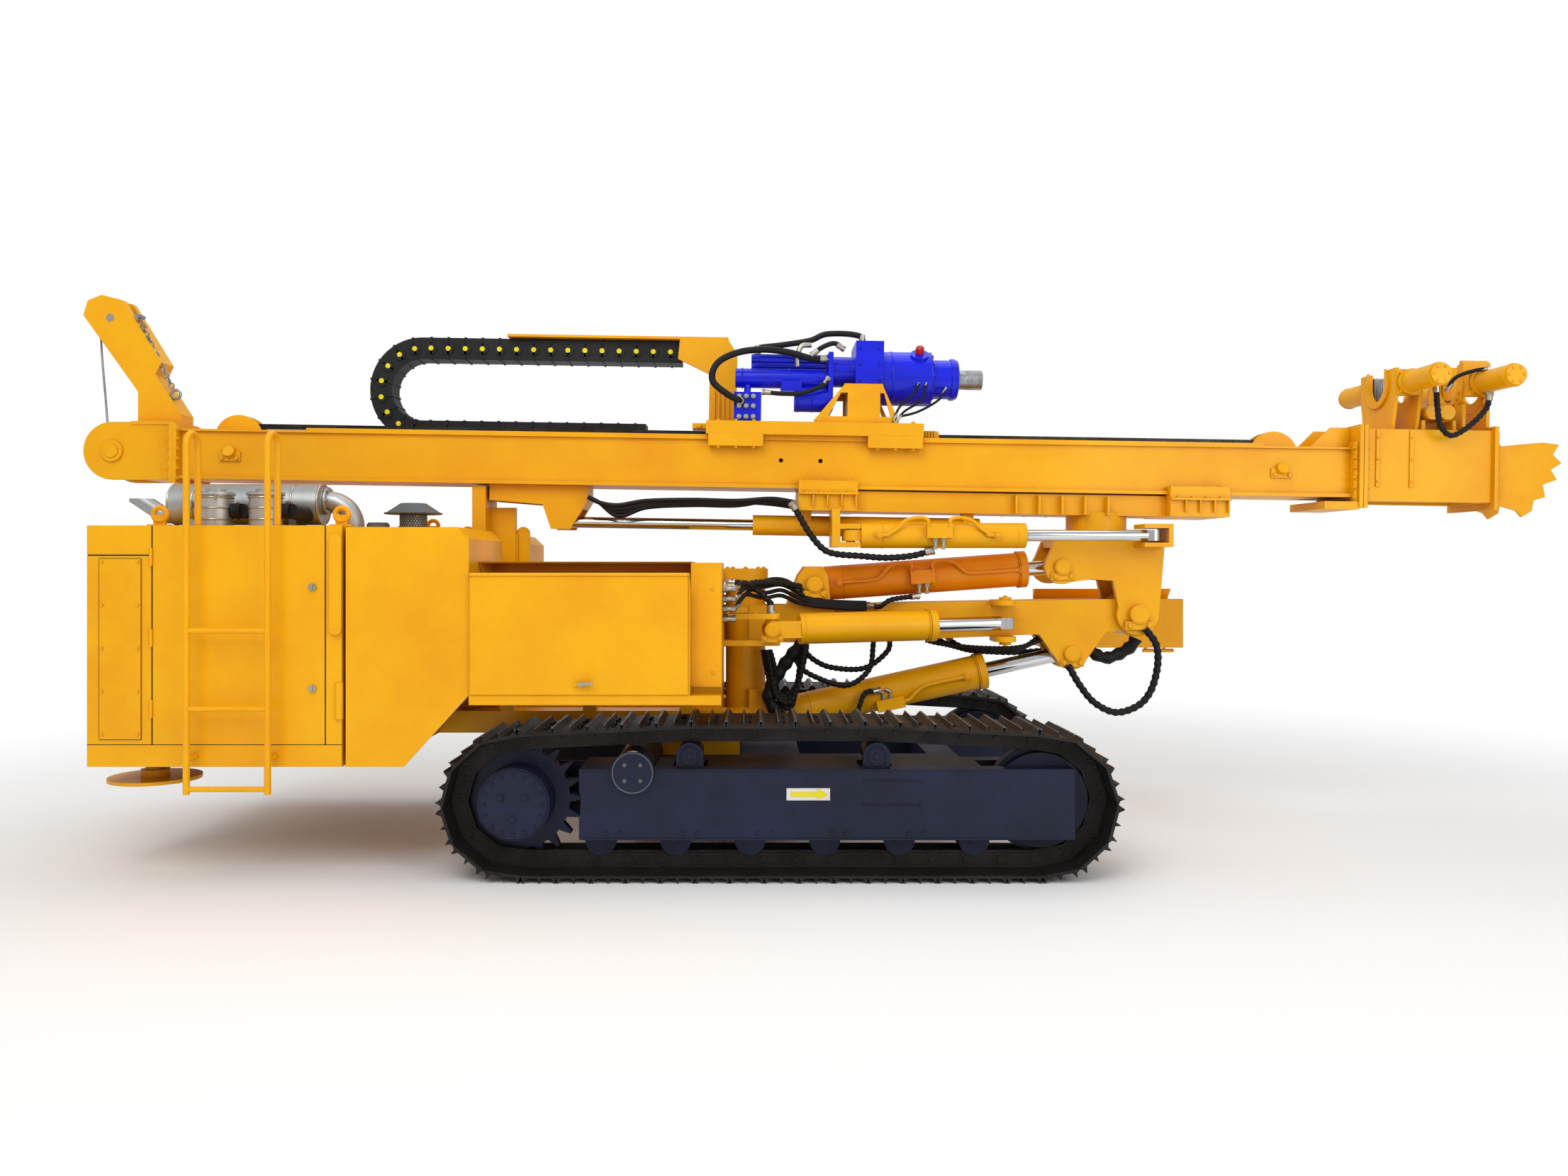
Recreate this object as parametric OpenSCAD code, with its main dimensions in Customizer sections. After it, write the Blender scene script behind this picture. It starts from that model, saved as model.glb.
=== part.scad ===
/* [Tracks] */
// Width over both tracks
track_overall_w = 2200; // [2180:10:2240]
// Width of one track shoe
shoe_w = 500; // [480:10:520]
// Distance from the sprocket axle to the idler axle
track_base = 2629; // [2615:1:2640]
// Radius of the chain line around sprocket and idler
chain_r = 297; // [294:1:299]
// Number of shoes on one track
shoe_count = 42; // [41:1:43]
// Height of the chain line over the carrier rollers
hump_h = 717; // [710:1:722]
// Height of a grouser on the shoe plate
grouser_h = 25; // [20:1:28]

/* [Undercarriage] */
// Length of a track frame
frame_len = 2451; // [2440:1:2456]
// Width of a track frame
frame_w = 380; // [370:5:390]
// Height of a track frame
frame_h = 349; // [340:1:360]
// Radius of the cross tube
cross_r = 103; // [98:1:106]

/* [Engine house] */
// Height of the hood roof above the ground
house_top = 1755; // [1735:5:1765]
// Length of the engine hood
hood_len = 1257; // [1240:1:1270]
// Sheet thickness of hood, tanks and control box
sheet_t = 8; // [6:1:12]
// Height of the ladder hoops above the hood roof
hoop_h = 450; // [430:5:470]

/* [Control box] */
// Length of the control box
box_len = 1088; // [1070:1:1100]
// Height of the control box
box_h = 661; // [640:1:680]
// Depth of the control box
box_d = 560; // [540:5:580]

/* [Boom] */
// Depth of the boom beam
boom_h = 215; // [200:5:225]
// Width of the boom beam
boom_w = 240; // [230:2:244]
// Radius of the tilt cylinder's barrel
barrel_r = 98; // [92:1:102]
// Radius of the boom cylinders' rods
rod_r = 42; // [38:1:46]
// Radius of the hinge pins
pin_r = 35; // [30:1:38]

/* [Mast] */
// Slope of the parked mast, falling to the front
mast_tilt = 0.92; // [0.8:0.02:1]
// Depth of the mast beam
mast_h = 285; // [275:1:290]
// Width of the mast beam
mast_w = 300; // [290:2:306]
// Wall thickness of the mast beam
mast_t = 12; // [10:1:16]
// Where the carriage's rear end stands along the mast
head_u = -628; // [-700:4:-560]

/* [Head and clamps] */
// Radius of the rotary head's round housing
head_r = 150; // [140:2:156]
// Radius of the drill spindle
spindle_r = 55; // [50:1:60]
// Radius of the clamp cylinders
clamp_r = 62; // [58:1:64]

/* [Hidden] */

fit = 0.05;
seat = 0.3;
track_y = (track_overall_w - shoe_w) / 2;
sprocket_x = -1541;
idler_x = sprocket_x + track_base;
link_half = 45;
strip_in = 42;
strip_out = 78;
plate_t = 10;
chain_h = link_half + plate_t + grouser_h;
axle_z = chain_h + chain_r;
carrier_x = [-673, 259];
carrier_tread_r = 62;
carrier_z = hump_h - link_half - carrier_tread_r - 3;
frame_x0 = -1218;
frame_x1 = frame_x0 + frame_len;
frame_z0 = 201;
frame_z1 = frame_z0 + frame_h;
roller_x = [for (i = [0 : 5]) -1121 + 374.4 * i];
roller_tread_r = 54.5;
roller_z = chain_h + link_half + roller_tread_r + 0.5;
cross_x = -952;
cross_z = 535;

// Chain line: four wheels, each [x, z, radius], run clockwise from the sprocket
wheels = [
    [sprocket_x, axle_z, chain_r],
    [carrier_x[0], carrier_z, hump_h - carrier_z],
    [carrier_x[1], carrier_z, hump_h - carrier_z],
    [idler_x, axle_z, chain_r]
];

function wheel(i) = wheels[i % 4];
function gap(i) = norm([wheel(i + 1)[0] - wheel(i)[0], wheel(i + 1)[1] - wheel(i)[1]]);
function slope(i) = atan2(wheel(i + 1)[1] - wheel(i)[1], wheel(i + 1)[0] - wheel(i)[0]);
function leave(i) = slope(i) + acos((wheel(i)[2] - wheel(i + 1)[2]) / gap(i));
function turn_raw(i) = leave(i + 3) - leave(i);
function turn(i) = turn_raw(i) - 360 * floor(turn_raw(i) / 360);
function arc_len(i) = wheel(i)[2] * turn(i) * PI / 180;
function line_len(i) = sqrt(pow(gap(i), 2) - pow(wheel(i)[2] - wheel(i + 1)[2], 2));
function polar(r, a) = [r * cos(a), r * sin(a)];
function hub(i) = [wheel(i)[0], wheel(i)[1]];
function along(s, i) =
    s < arc_len(i) ? hub(i) + polar(wheel(i)[2], leave(i) + turn(i) - s / wheel(i)[2] * 180 / PI)
    : s < arc_len(i) + line_len(i) || i > 3 ?
        hub(i) + polar(wheel(i)[2], leave(i)) + polar(s - arc_len(i), leave(i) - 90)
    : along(s - arc_len(i) - line_len(i), i + 1);

belt_len = arc_len(0) + line_len(0) + arc_len(1) + line_len(1)
    + arc_len(2) + line_len(2) + arc_len(3) + line_len(3);
pitch = belt_len / shoe_count;
// A chain pin stands at the sprocket's rearmost point
pin_phase = arc_len(0) / 2;
function pin_at(k) = along(let (s = pin_phase + k * pitch) s - belt_len * floor(s / belt_len), 0);
pins = [for (k = [0 : shoe_count]) pin_at(k)];

// House
house_x0 = -3643;
hood_x1 = house_x0 + hood_len;
house_z0 = 564;
sill_z = 673;
tank_x0 = hood_x1 + 19;
tank_x1 = -1760;
house_inset = 50;
house_y = track_overall_w / 2 - house_inset;
tank_in_y = 270;
box_x0 = tank_x1 + 3;
box_x1 = box_x0 + box_len;
box_z0 = 916;
box_z1 = box_z0 + box_h;
box_y0 = -house_y - 15;
box_y1 = box_y0 + box_d;
deck_z = 760;

// Boom group
swing_x = -400;
foot_x = 60;
foot_z = 1235;
lift_pin = [-190, 690];
lift_eye = [1467, 1052];
tilt_base = [-7, 1449];
tilt_eye = [1400, 1549];
main_pin = [1830, 1280];
hub_r = 112;
swing_base = [-254, -450, 1209];
swing_eye = [1058, -250, 1234];
slew_x = 1640;
slew_z = 1724;
slew_base = [187, -300, slew_z];
slew_eye = [1868, -300, slew_z];
eye_w = 70;

// Mast frame: u along the mast, w up from its underside
mast_z = 1993;
mast_u0 = -3640;
mast_u1 = 3060;
drill_w = mast_h + 372;
module on_mast() {
    translate([0, 0, mast_z]) rotate([0, mast_tilt, 0]) children();
}

yellow = "#f2a30c";
amber = "#e8830c";
steel_blue = "#1f2a3c";
silver = "#c8ccd0";
dark = "#1c1c1e";
head_blue = "#1446c8";

module box(x0, x1, y0, y1, z0, z1) {
    translate([x0, y0, z0]) cube([x1 - x0, y1 - y0, z1 - z0]);
}

// A bar along Y with its middle at y
module bar_y(x, y, z, r, w) {
    translate([x, y + w / 2, z]) rotate([90, 0, 0]) cylinder(r = r, h = w, $fn = 48);
}

module bar_x(x0, x1, y, z, r) {
    translate([x0, y, z]) rotate([0, 90, 0]) cylinder(r = r, h = x1 - x0, $fn = 48);
}

module bar_z(x, y, z0, z1, r) {
    translate([x, y, z0]) cylinder(r = r, h = z1 - z0, $fn = 48);
}

// A plate in the XZ plane, from y0 to y1
module plate_y(points, y0, y1) {
    translate([0, y1, 0]) rotate([90, 0, 0]) linear_extrude(y1 - y0) polygon(points);
}

module each_side(side) {
    if (side > 0) mirror([0, 1, 0]) children();
    else children();
}

// Running gear, drawn for the near side and mirrored for the far one
module track_frame(side) {
    color(steel_blue) each_side(side) difference() {
        box(frame_x0, frame_x1, -track_y - frame_w / 2, -track_y + frame_w / 2, frame_z0, frame_z1);
        // Pocket for the idler, channel for the rollers and pockets for the carriers
        box(idler_x - 300, frame_x1 + 10, -track_y - 90, -track_y + 90, frame_z0 - 10, frame_z1 + 10);
        box(frame_x0 - 10, idler_x - 240, -track_y - 110, -track_y + 110, frame_z0 - 10, roller_z + 90);
        for (x = carrier_x) box(x - 85, x + 85, -track_y - 95, -track_y + 95, carrier_z - 85, frame_z1 + 10);
        bar_y(cross_x, -track_y, cross_z, cross_r + fit, frame_w + 60);
        // Notch for the final drive
        bar_y(sprocket_x, -track_y, axle_z, chain_r + 34, frame_w + 20);
    }
}

// Outer outline of one shoe with its three grousers, each point [along, outward] from the chain line
grouser_w = 10;
shoe_half = pitch / 2 - 1.5;
shoe_top = link_half + plate_t;
shoe_tip = shoe_top + grouser_h;
shoe_points = [
    [-shoe_half, shoe_top], [-shoe_half + 5, shoe_tip], [-shoe_half + 5 + 2 * grouser_w, shoe_top],
    [-grouser_w, shoe_top], [0, shoe_tip], [grouser_w, shoe_top],
    [shoe_half - 5 - 2 * grouser_w, shoe_top], [shoe_half - 5, shoe_tip], [shoe_half, shoe_top]
];
function unit(v) = v / norm(v);
function left_of(v) = [-v[1], v[0]];
function on_shoe(k, p) = let (d = unit(pins[k + 1] - pins[k]))
    (pins[k] + pins[k + 1]) / 2 + p[0] * d + p[1] * left_of(d);
function off_pin(k, out) = pins[k]
    + out * left_of(unit(pins[(k + 1) % shoe_count] - pins[(k + shoe_count - 1) % shoe_count]));
function belt_line(out) = [for (k = [0 : shoe_count - 1]) off_pin(k, out)];

module track_belt(side) {
    color(dark) each_side(side) {
        translate([0, -track_y + shoe_w / 2, 0]) rotate([90, 0, 0]) linear_extrude(shoe_w) difference() {
            polygon([for (k = [0 : shoe_count - 1]) each concat([off_pin(k, link_half + 2)],
                [for (p = shoe_points) on_shoe(k, p)])]);
            polygon(belt_line(link_half - 4));
        }
        for (y = [strip_in, -strip_out])
            translate([0, -track_y + y + strip_out - strip_in, 0]) rotate([90, 0, 0])
                linear_extrude(strip_out - strip_in) difference() {
                    polygon(belt_line(link_half - 2));
                    polygon(belt_line(-link_half));
                }
    }
}

tooth_step = 360 / 21;
module sprocket_outline() {
    circle(r = chain_r - 42, $fn = 84);
    for (k = [0 : 20]) rotate(180 + (k + 0.5) * tooth_step)
        polygon([[chain_r - 60, -26], [chain_r - 8, -13], [chain_r + 18, -5],
            [chain_r + 18, 5], [chain_r - 8, 13], [chain_r - 60, 26]]);
}

module drive(side) {
    color(steel_blue) each_side(side) {
        translate([sprocket_x, -track_y + 28, axle_z]) rotate([90, 0, 0])
            linear_extrude(56) sprocket_outline();
        bar_y(sprocket_x, -track_y - 50, axle_z, 180, 300);
        bar_y(sprocket_x, -track_y - 205, axle_z, 165, 12);
        bar_y(sprocket_x, -track_y + 130, axle_z, 150, 100);
        // Motor bracket, reaching forward to the frame's inner face
        box(sprocket_x - 60, frame_x0 + 150, -track_y + frame_w / 2, -track_y + frame_w / 2 + 25,
            frame_z0 + 40, frame_z1 - 20);
        bar_y(sprocket_x, -track_y + frame_w / 2 + 5, axle_z, 190, 40);
    }
}

module rollers(side) {
    color(steel_blue) each_side(side) {
        for (x = roller_x) {
            bar_y(x, -track_y, roller_z, roller_tread_r, 180);
            for (y = [-92, 92]) bar_y(x, -track_y + y, roller_z, 78, 12);
            bar_y(x, -track_y, roller_z, 24, 210);
        }
        for (x = carrier_x) {
            bar_y(x, -track_y, carrier_z, carrier_tread_r, 178);
            bar_y(x, -track_y, carrier_z, 30, 190);
            // Bracket with a round top outside the roller
            difference() {
                bar_y(x, -track_y - 120, carrier_z, 68, 50);
                box(x - 70, x + 70, -track_y - 150, -track_y - 90, carrier_z - 80, frame_z1);
            }
            box(x - 68, x + 68, -track_y - 145, -track_y - 95, frame_z1, carrier_z);
        }
        bar_y(idler_x, -track_y, axle_z, chain_r * cos(pitch / chain_r * 90 / PI) - link_half - 1, 164);
        bar_y(idler_x, -track_y, axle_z, 70, 180);
        bar_y(idler_x, -track_y, axle_z, chain_r - link_half + 12, 70);
    }
}

module chassis_frame() {
    color(steel_blue) {
        difference() {
            box(-1050, 760, -track_y + frame_w / 2, track_y - frame_w / 2, 330, 520);
            box(-880, -560, -360, 360, 320, 530);
            box(-100, 600, -360, 360, 320, 530);
        }
        bar_y(cross_x, 0, cross_z, cross_r, 2 * track_y + frame_w + 20);
        for (s = [-1, 1]) bar_y(cross_x, s * (track_y + frame_w / 2 + 15), cross_z, cross_r + 5, 12);
    }
    color(yellow) {
        for (y = [-400, 250]) {
            box(-3600, -380, y, y + 150, 640, deck_z);
            box(-1000, -430, y, y + 150, 510, 650);
        }
        for (x = [-2900, -2490, -2160]) box(x, x + 80, -house_y + sheet_t, house_y - sheet_t, 640, 700);
        // Rear bearer with the jack housings
        difference() {
            union() {
                box(-3610, -3530, -house_y + sheet_t, house_y - sheet_t, 640, 700);
                for (s = [-1, 1]) bar_z(-3472, s * 720, 520, deck_z, 75);
            }
            for (s = [-1, 1]) bar_z(-3472, s * 720, 500, 800, 45 + fit);
        }
        // Outriggers under the control box and its columns
        for (x = [-1740, -1290, -760]) {
            box(x, x + 70, -400, -300, deck_z - 5, 916 - sheet_t);
            box(x, x + 70, box_y0 + 40, -300, 876, 916);
        }
        box(box_x0, box_x1 + 154, box_y0, box_y0 + 60, 870, 916);
        box(box_x0, box_x0 + 60, box_y0 + 50, -300, 876, 916);
    }
}

// Engine house
module engine_hood() {
    t = sheet_t;
    color(yellow) {
        difference() {
            box(house_x0, hood_x1, -house_y, house_y, sill_z, house_top);
            box(house_x0 + t, hood_x1 - t, -house_y + t, house_y - t, sill_z - 10, house_top - t);
            // Door and panel joints, cut half through the sheet
            for (s = [-1, 1]) {
                for (x = [-3325, -2470]) box(x, x + 6, s * house_y - 3, s * house_y + 3, sill_z - 5, house_top + 5);
                box(house_x0 - 5, -3325, s * house_y - 3, s * house_y + 3, house_top - 150, house_top - 144);
            }
            // Way for the deck beams
            box(hood_x1 - 20, hood_x1 + 10, -400 - seat, 400 + seat, 500, deck_z + seat);
            // Radiator opening at the rear
            box(house_x0 - 10, house_x0 + t + 5, -650, 650, 900, 1600);
        }
        // Sill band all round the open floor
        difference() {
            box(house_x0, hood_x1, -house_y, house_y, house_z0, sill_z);
            box(house_x0 + t, hood_x1 - t, -house_y + t, house_y - t, house_z0 - 10, sill_z + 10);
            box(hood_x1 - 20, hood_x1 + 10, -400 - seat, 400 + seat, 640 - seat, deck_z);
        }
        // Radiator grille
        for (z = [930 : 60 : 1580]) box(house_x0 + 1, house_x0 + t, -652, 652, z, z + 22);
        // Screwed cover on each rear side
        for (s = [-1, 1]) box(-3580, -3375, s * (house_y + 2) - 3, s * (house_y + 2) + 3, 700, 1590);
    }
}

module engine_block() {
    color(dark) {
        box(-3250, -2550, -260, 260, deck_z, 1450);
        for (x = [-3200, -2700]) box(x, x + 80, -390, 390, deck_z - 0, deck_z + 60);
    }
}

// Tank between hood and control box, its lower corner cut at a slant

module tank(side) {
    color(yellow) each_side(side) difference() {
        plate_y([[tank_x0, house_z0], [-2081, house_z0], [tank_x1, 916], [tank_x1, house_top - 65],
            [tank_x1 - 60, house_top - 8], [tank_x0, house_top - 8]], -house_y, -tank_in_y);
        plate_y([[tank_x0 + sheet_t, house_z0 - 60], [-2096, house_z0 - 20], [tank_x1 - sheet_t, 905],
            [tank_x1 - sheet_t, house_top - 69], [tank_x1 - 64, house_top - 8 - sheet_t],
            [tank_x0 + sheet_t, house_top - 8 - sheet_t]], -house_y + sheet_t, -tank_in_y - sheet_t);
        // Way for the deck beams and the cross-bearer
        box(-2450, -1700, -400 - seat, -100, 500, deck_z + seat);
        box(-2160 - seat, -2080 + seat, -house_y + sheet_t, -100, 640 - seat, 700 + seat);
    }
}

module exhaust() {
    y = -330;
    z = house_top + 140;
    low_z = house_top + 80;
    color(silver) {
        // Muffler with its saddles on the hood roof
        bar_x(-3554, -2735, y, z, 114);
        for (x = [-3440, -2900]) box(x, x + 40, y - 80, y + 80, house_top, house_top + 80);
        // Tail pipe, its end turned up with an oblique mouth
        bar_x(-3625, -3550, y, low_z, 45);
        difference() {
            translate([-3600, y, low_z - 14]) rotate([0, -56, 0]) cylinder(r = 44, h = 220, $fn = 48);
            translate([-3600, y, low_z - 14]) rotate([0, -56, 0]) translate([0, 0, 60]) cylinder(r = 39, h = 200, $fn = 48);
            translate([-3900, y - 100, low_z + 92]) cube([500, 200, 200]);
        }
        // Elbow down to the hood, with its flanges
        bar_x(-2740, -2710, y, z + 20, 53);
        for (x = [-2735, -2718]) bar_x(x, x + 12, y, z + 20, 76);
        translate([-2710, y, z + 20 - 145]) rotate([90, 0, 0])
            rotate_extrude(angle = 90, $fn = 60) translate([145, 0]) circle(r = 53, $fn = 48);
        bar_z(-2565, y, house_top, z + 20 - 145, 53);
        // Two filter canisters
        for (x = [-3192, -2930]) {
            bar_z(x, -640, house_top, house_top + 190, 84);
            bar_z(x, -640, house_top + 172, house_top + 186, 96);
            bar_z(x, -640, house_top + 186, house_top + 204, 50);
        }
    }
}

module rain_cap() {
    color(dark) {
        bar_z(-2162, -600, house_top - 8, house_top + 80, 70);
        translate([-2162, -600, house_top + 76]) cylinder(r1 = 149, r2 = 66, h = 56, $fn = 48);
        bar_z(-2318, -700, house_top - 8, house_top + 18, 58);
    }
}

door_y = box_y0 - 11;
door_z = box_z1 - 65;
module control_box() {
    t = sheet_t;
    color(yellow) {
        difference() {
            plate_y([[box_x0, box_z0], [box_x1, box_z0], [box_x1, box_z1], [box_x0, box_z1]], box_y0, box_y1);
            plate_y([[box_x0 + t, box_z0 + t], [box_x1 - t, box_z0 + t], [box_x1 - t, box_z1 - t],
                [box_x0 + t, box_z1 - t]], box_y0 - 10, box_y1 - t);
            // Bevelled top edge at the front
            translate([box_x0 - 10, box_y0, box_z1 - 65]) rotate([-45, 0, 0])
                translate([0, -200, 0]) cube([box_len + 20, 400, 200]);
        }
        // Ears and pin of the door's hinge
        for (x = [box_x0, box_x1 - 6]) box(x, x + 6, door_y - 8, box_y0 + 5, door_z - 8, door_z + 8);
        bar_x(box_x0, box_x1, door_y, door_z, 5);
        // Narrow set-back box beside it
        box(box_x1, box_x1 + 154, box_y0 + 110, box_y1, box_z0 + 30, box_z1 - 6);
    }
}

module control_levers() {
    color(dark) {
        box(box_x0 + 150, box_x1 - 150, box_y0 + 250, box_y0 + 330, box_z0 + sheet_t, box_z0 + 260);
        for (k = [0 : 8]) {
            x = box_x0 + 210 + k * (box_len - 384) / 8;
            bar_z(x, box_y0 + 290, box_z0 + 260, box_z0 + 400, 8);
            translate([x, box_y0 + 290, box_z0 + 405]) sphere(r = 20, $fn = 24);
        }
    }
}

module control_door() {
    gap_x = 8;
    color(yellow) {
        difference() {
            union() {
                box(box_x0 + gap_x, box_x1 - gap_x, box_y0 - 2 - sheet_t, box_y0 - 2, box_z0 + 6, door_z);
                bar_x(box_x0 + gap_x, box_x1 - gap_x, door_y, door_z, 9);
            }
            bar_x(box_x0 - 5, box_x1 + 5, door_y, door_z, 5 + fit);
        }
    }
    color(silver) {
        bar_y(box_x0 + 560, box_y0 - 14, box_z0 + 60, 10, 24);
        box(box_x0 + 520, box_x0 + 600, box_y0 - 34, box_y0 - 24, box_z0 + 52, box_z0 + 68);
    }
}

module ladder() {
    y = -house_y - 90;
    r = 16;
    hoop_z = house_top + hoop_h;
    stiles = [-3110, -2715];
    color(yellow) {
        for (x = stiles) {
            bar_z(x, y, 445, hoop_z - 60, r);
            translate([x, y + 60, hoop_z - 60]) rotate([90, 0, 90]) rotate_extrude(angle = 180, $fn = 60)
                translate([60, 0]) circle(r = r, $fn = 32);
            bar_z(x, y + 120, house_top, hoop_z - 60, r);
            // Stand-off to the sill band
            bar_y(x, (y - house_y) / 2, 618, r, -y - house_y);
        }
        for (z = [470, 860, 1240]) bar_x(stiles[0], stiles[1], y, z, r - 3);
    }
}

module mast_rest() {
    color(yellow) {
        box(-1957, -1880, -150, 150, deck_z, 2012);
        box(-2060, -1780, -262, 262, deck_z, deck_z + 20);
        // Round-topped plate behind the post
        box(-2040, -1957, -90, -70, deck_z, 1740);
        bar_y(-1998, -80, 1740, 42, 20);
        // Plate before the post, with its catch
        box(-1880, -1735, -20, 20, deck_z, 1893);
        box(-1735, -1660, 10, 30, deck_z, 1745);
        box(-1745, -1725, -10, 25, deck_z, 1740);
        bar_y(-1698, 20, 1745, 38, 20);
    }
}

module jack(side) {
    color(silver) each_side(side) {
        bar_z(-3472, -720, 496, 1500, 45);
    }
    color(yellow) each_side(side) {
        bar_z(-3472, -720, 462, 500, 70);
        bar_z(-3472, -720, 446, 464, 225);
    }
}

module console_arm() {
    color(yellow) {
        difference() {
            union() {
                bar_z(-350, 560, 1080 + seat, 1290, 50);
                box(-390, -310, 560, 950, 1150, 1230);
                box(-390, 1520, 910, 990, 1150, 1230);
            }
            bar_z(-350, 560, 1060, 1300, 30 + fit);
        }
    }
}

module console_box() {
    color(yellow) {
        difference() {
            box(1534, 2442, 800, 1090, 1023, 1401);
            translate([1500, 800, 1341]) rotate([-45, 0, 0]) translate([0, -200, 0]) cube([1000, 400, 200]);
        }
        bar_x(1520, 1536, 950, 1190, 90);
    }
    color(silver) {
        bar_x(2200, 2400, 860, 1000, 12);
        for (x = [2210, 2330]) box(x, x + 16, 852, 868, 995, 1025);
    }
}

// Hydraulic cylinders lie along +X from the base pin
module barrel(len, r, rod, pin, eye_r, pocket) {
    difference() {
        union() {
            bar_y(0, 0, 0, eye_r, eye_w);
            box(0, eye_r + 20, -eye_w / 2, eye_w / 2, -eye_r * 0.8, eye_r * 0.8);
            bar_x(eye_r, len, 0, 0, r);
            bar_x(len - 40, len, 0, 0, r + 8);
        }
        bar_x(pocket, len + 5, 0, 0, rod + fit);
        bar_y(0, 0, 0, pin + fit, eye_w + 10);
    }
}

module rod(inner, len, r, eye_r) {
    bar_x(inner, len - eye_r / 2, 0, 0, r);
    bar_y(len, 0, 0, eye_r, eye_w);
}

// Places a cylinder's parts from its base pin towards its rod's eye
module aim(from, to, y) {
    translate([from[0], y, from[1]]) rotate([0, -atan2(to[1] - from[1], to[0] - from[0]), 0]) children();
}
function reach(from, to) = norm(to - from);

lift_len = reach(lift_pin, lift_eye);
tilt_len = reach(tilt_base, tilt_eye);
swing_len = norm(swing_eye - swing_base);
swing_yaw = atan2(swing_eye[1] - swing_base[1], swing_eye[0] - swing_base[0]);
swing_rise = asin((swing_eye[2] - swing_base[2]) / swing_len);
slew_len = norm(slew_eye - slew_base);

module boom_post() {
    color(yellow) {
        box(-740, -530, -230, 230, deck_z, 1540);
        // Upper and lower bearing plates of the swing pin
        for (z = [590, 1462]) difference() {
            union() {
                box(-560, swing_x, -130, 130, z, z + 78);
                bar_z(swing_x, 0, z, z + 78, 130);
            }
            bar_z(swing_x, 0, z - 5, z + 90, 60 + fit);
        }
        box(-740, -530, -250, 250, 520, deck_z);
        // Bracket of the swing cylinder's cross piece
        box(-620, -530, box_y1 + 10, -225, 1100, 1320);
        for (z = [1122, 1266]) difference() {
            union() {
                box(-560, swing_base[0], swing_base[1] - 45, swing_base[1] + 45, z, z + 30);
                bar_z(swing_base[0], swing_base[1], z, z + 30, 45);
            }
            bar_z(swing_base[0], swing_base[1], z - 5, z + 40, 28 + fit);
        }
        // Post of the console arm on the far side
        box(-430, -400, 225, 520, 1070, 1300);
        box(-600, -420, 225, 420, 1070, 1300);
        for (z = [1050, 1290 + seat]) box(-430, -290, 500, 620, z, z + 30);
        bar_z(-350, 560, 1050, 1320, 30);
    }
}

cheek_y = boom_w / 2 + 25;
module swing_knuckle() {
    color(yellow) {
        bar_z(swing_x, 0, 590, 1540, 60);
        difference() {
            bar_z(swing_x, 0, 668 + seat, 1462 - seat, 115);
            bar_z(swing_x, 0, 660, 1470, 59);
        }
        for (s = [-1, 1]) difference() {
            union() {
                // Cheek of the boom's foot and the tilt cylinder
                plate_y([[swing_x + 20, 1120], [-60, 1120], [80, 1150], [foot_x + 90, foot_z], [85, 1330],
                    [70, 1500], [40, 1552], [-60, 1552], [-98, 1500], [-160, 1330], [swing_x + 20, 1330]],
                    s * cheek_y - 15, s * cheek_y + 15);
                // Cheek of the lift cylinder
                plate_y([[swing_x + 20, 680], [-275, 612], [-190, 600], [-105, 650], [-105, 730], [-180, 780],
                    [-290, 800], [swing_x + 20, 860]], s * cheek_y - 15, s * cheek_y + 15);
            }
            bar_y(lift_pin[0], 0, lift_pin[1], pin_r - 5, 500);
            bar_y(foot_x, 0, foot_z, pin_r - 5, 500);
            bar_y(tilt_base[0], 0, tilt_base[1], pin_r - 5, 500);
        }
        // Webs between column and cheeks
        for (z = [[1130, 1330], [685, 850]]) difference() {
            box(swing_x + 20, swing_x + 105, -cheek_y, cheek_y, z[0], z[1]);
            bar_z(swing_x, 0, z[0] - 5, z[1] + 5, 90);
        }
    }
    color(silver) for (p = [lift_pin, [foot_x, foot_z], tilt_base]) {
        bar_y(p[0], 0, p[1], pin_r, boom_w + 20);
        bar_y(p[0], 0, p[1], pin_r - 5, boom_w + 110);
    }
}

module boom() {
    color(yellow) difference() {
        union() {
            plate_y([[foot_x + 20, foot_z - 80], [400, foot_z - boom_h / 2], [main_pin[0] - 120, main_pin[1] - 100],
                [main_pin[0], main_pin[1] - 90], [main_pin[0] + 70, main_pin[1]], [main_pin[0], main_pin[1] + 80],
                [main_pin[0] - 150, main_pin[1] + 85], [400, foot_z + boom_h / 2], [foot_x + 20, foot_z + 80]],
                -boom_w / 2, boom_w / 2);
            bar_y(foot_x, 0, foot_z, 80, boom_w);
            // Hub of the pivot at the head
            bar_y(main_pin[0], 0, main_pin[1], hub_r + 16, boom_w);
            // Lugs of the lift cylinder's eye
            for (s = [-1, 1]) bar_y(lift_eye[0], s * (boom_w + eye_w + 16) / 4, lift_eye[1], 92, boom_w / 2 - eye_w / 2 - 8);
            for (y = [-boom_w / 2, eye_w / 2 + 8]) plate_y([[lift_eye[0] - 200, lift_eye[1] + 130],
                [lift_eye[0] - 85, lift_eye[1] - 34], [lift_eye[0] + 85, lift_eye[1] - 34],
                [lift_eye[0] + 200, lift_eye[1] + 130]], y, y + boom_w / 2 - eye_w / 2 - 8);
            // Lugs of the swing cylinder's eye
            for (z = [swing_eye[2] - 105, swing_eye[2] + 100]) {
                box(swing_eye[0] - 60, swing_eye[0] + 60, swing_eye[1], -boom_w / 2 + 10, z, z + 30);
                bar_z(swing_eye[0], swing_eye[1], z, z + 30, 60);
            }
        }
        bar_y(foot_x, 0, foot_z, pin_r + fit, boom_w + 20);
        bar_y(main_pin[0], 0, main_pin[1], hub_r + fit, boom_w + 20);
    }
}

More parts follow.
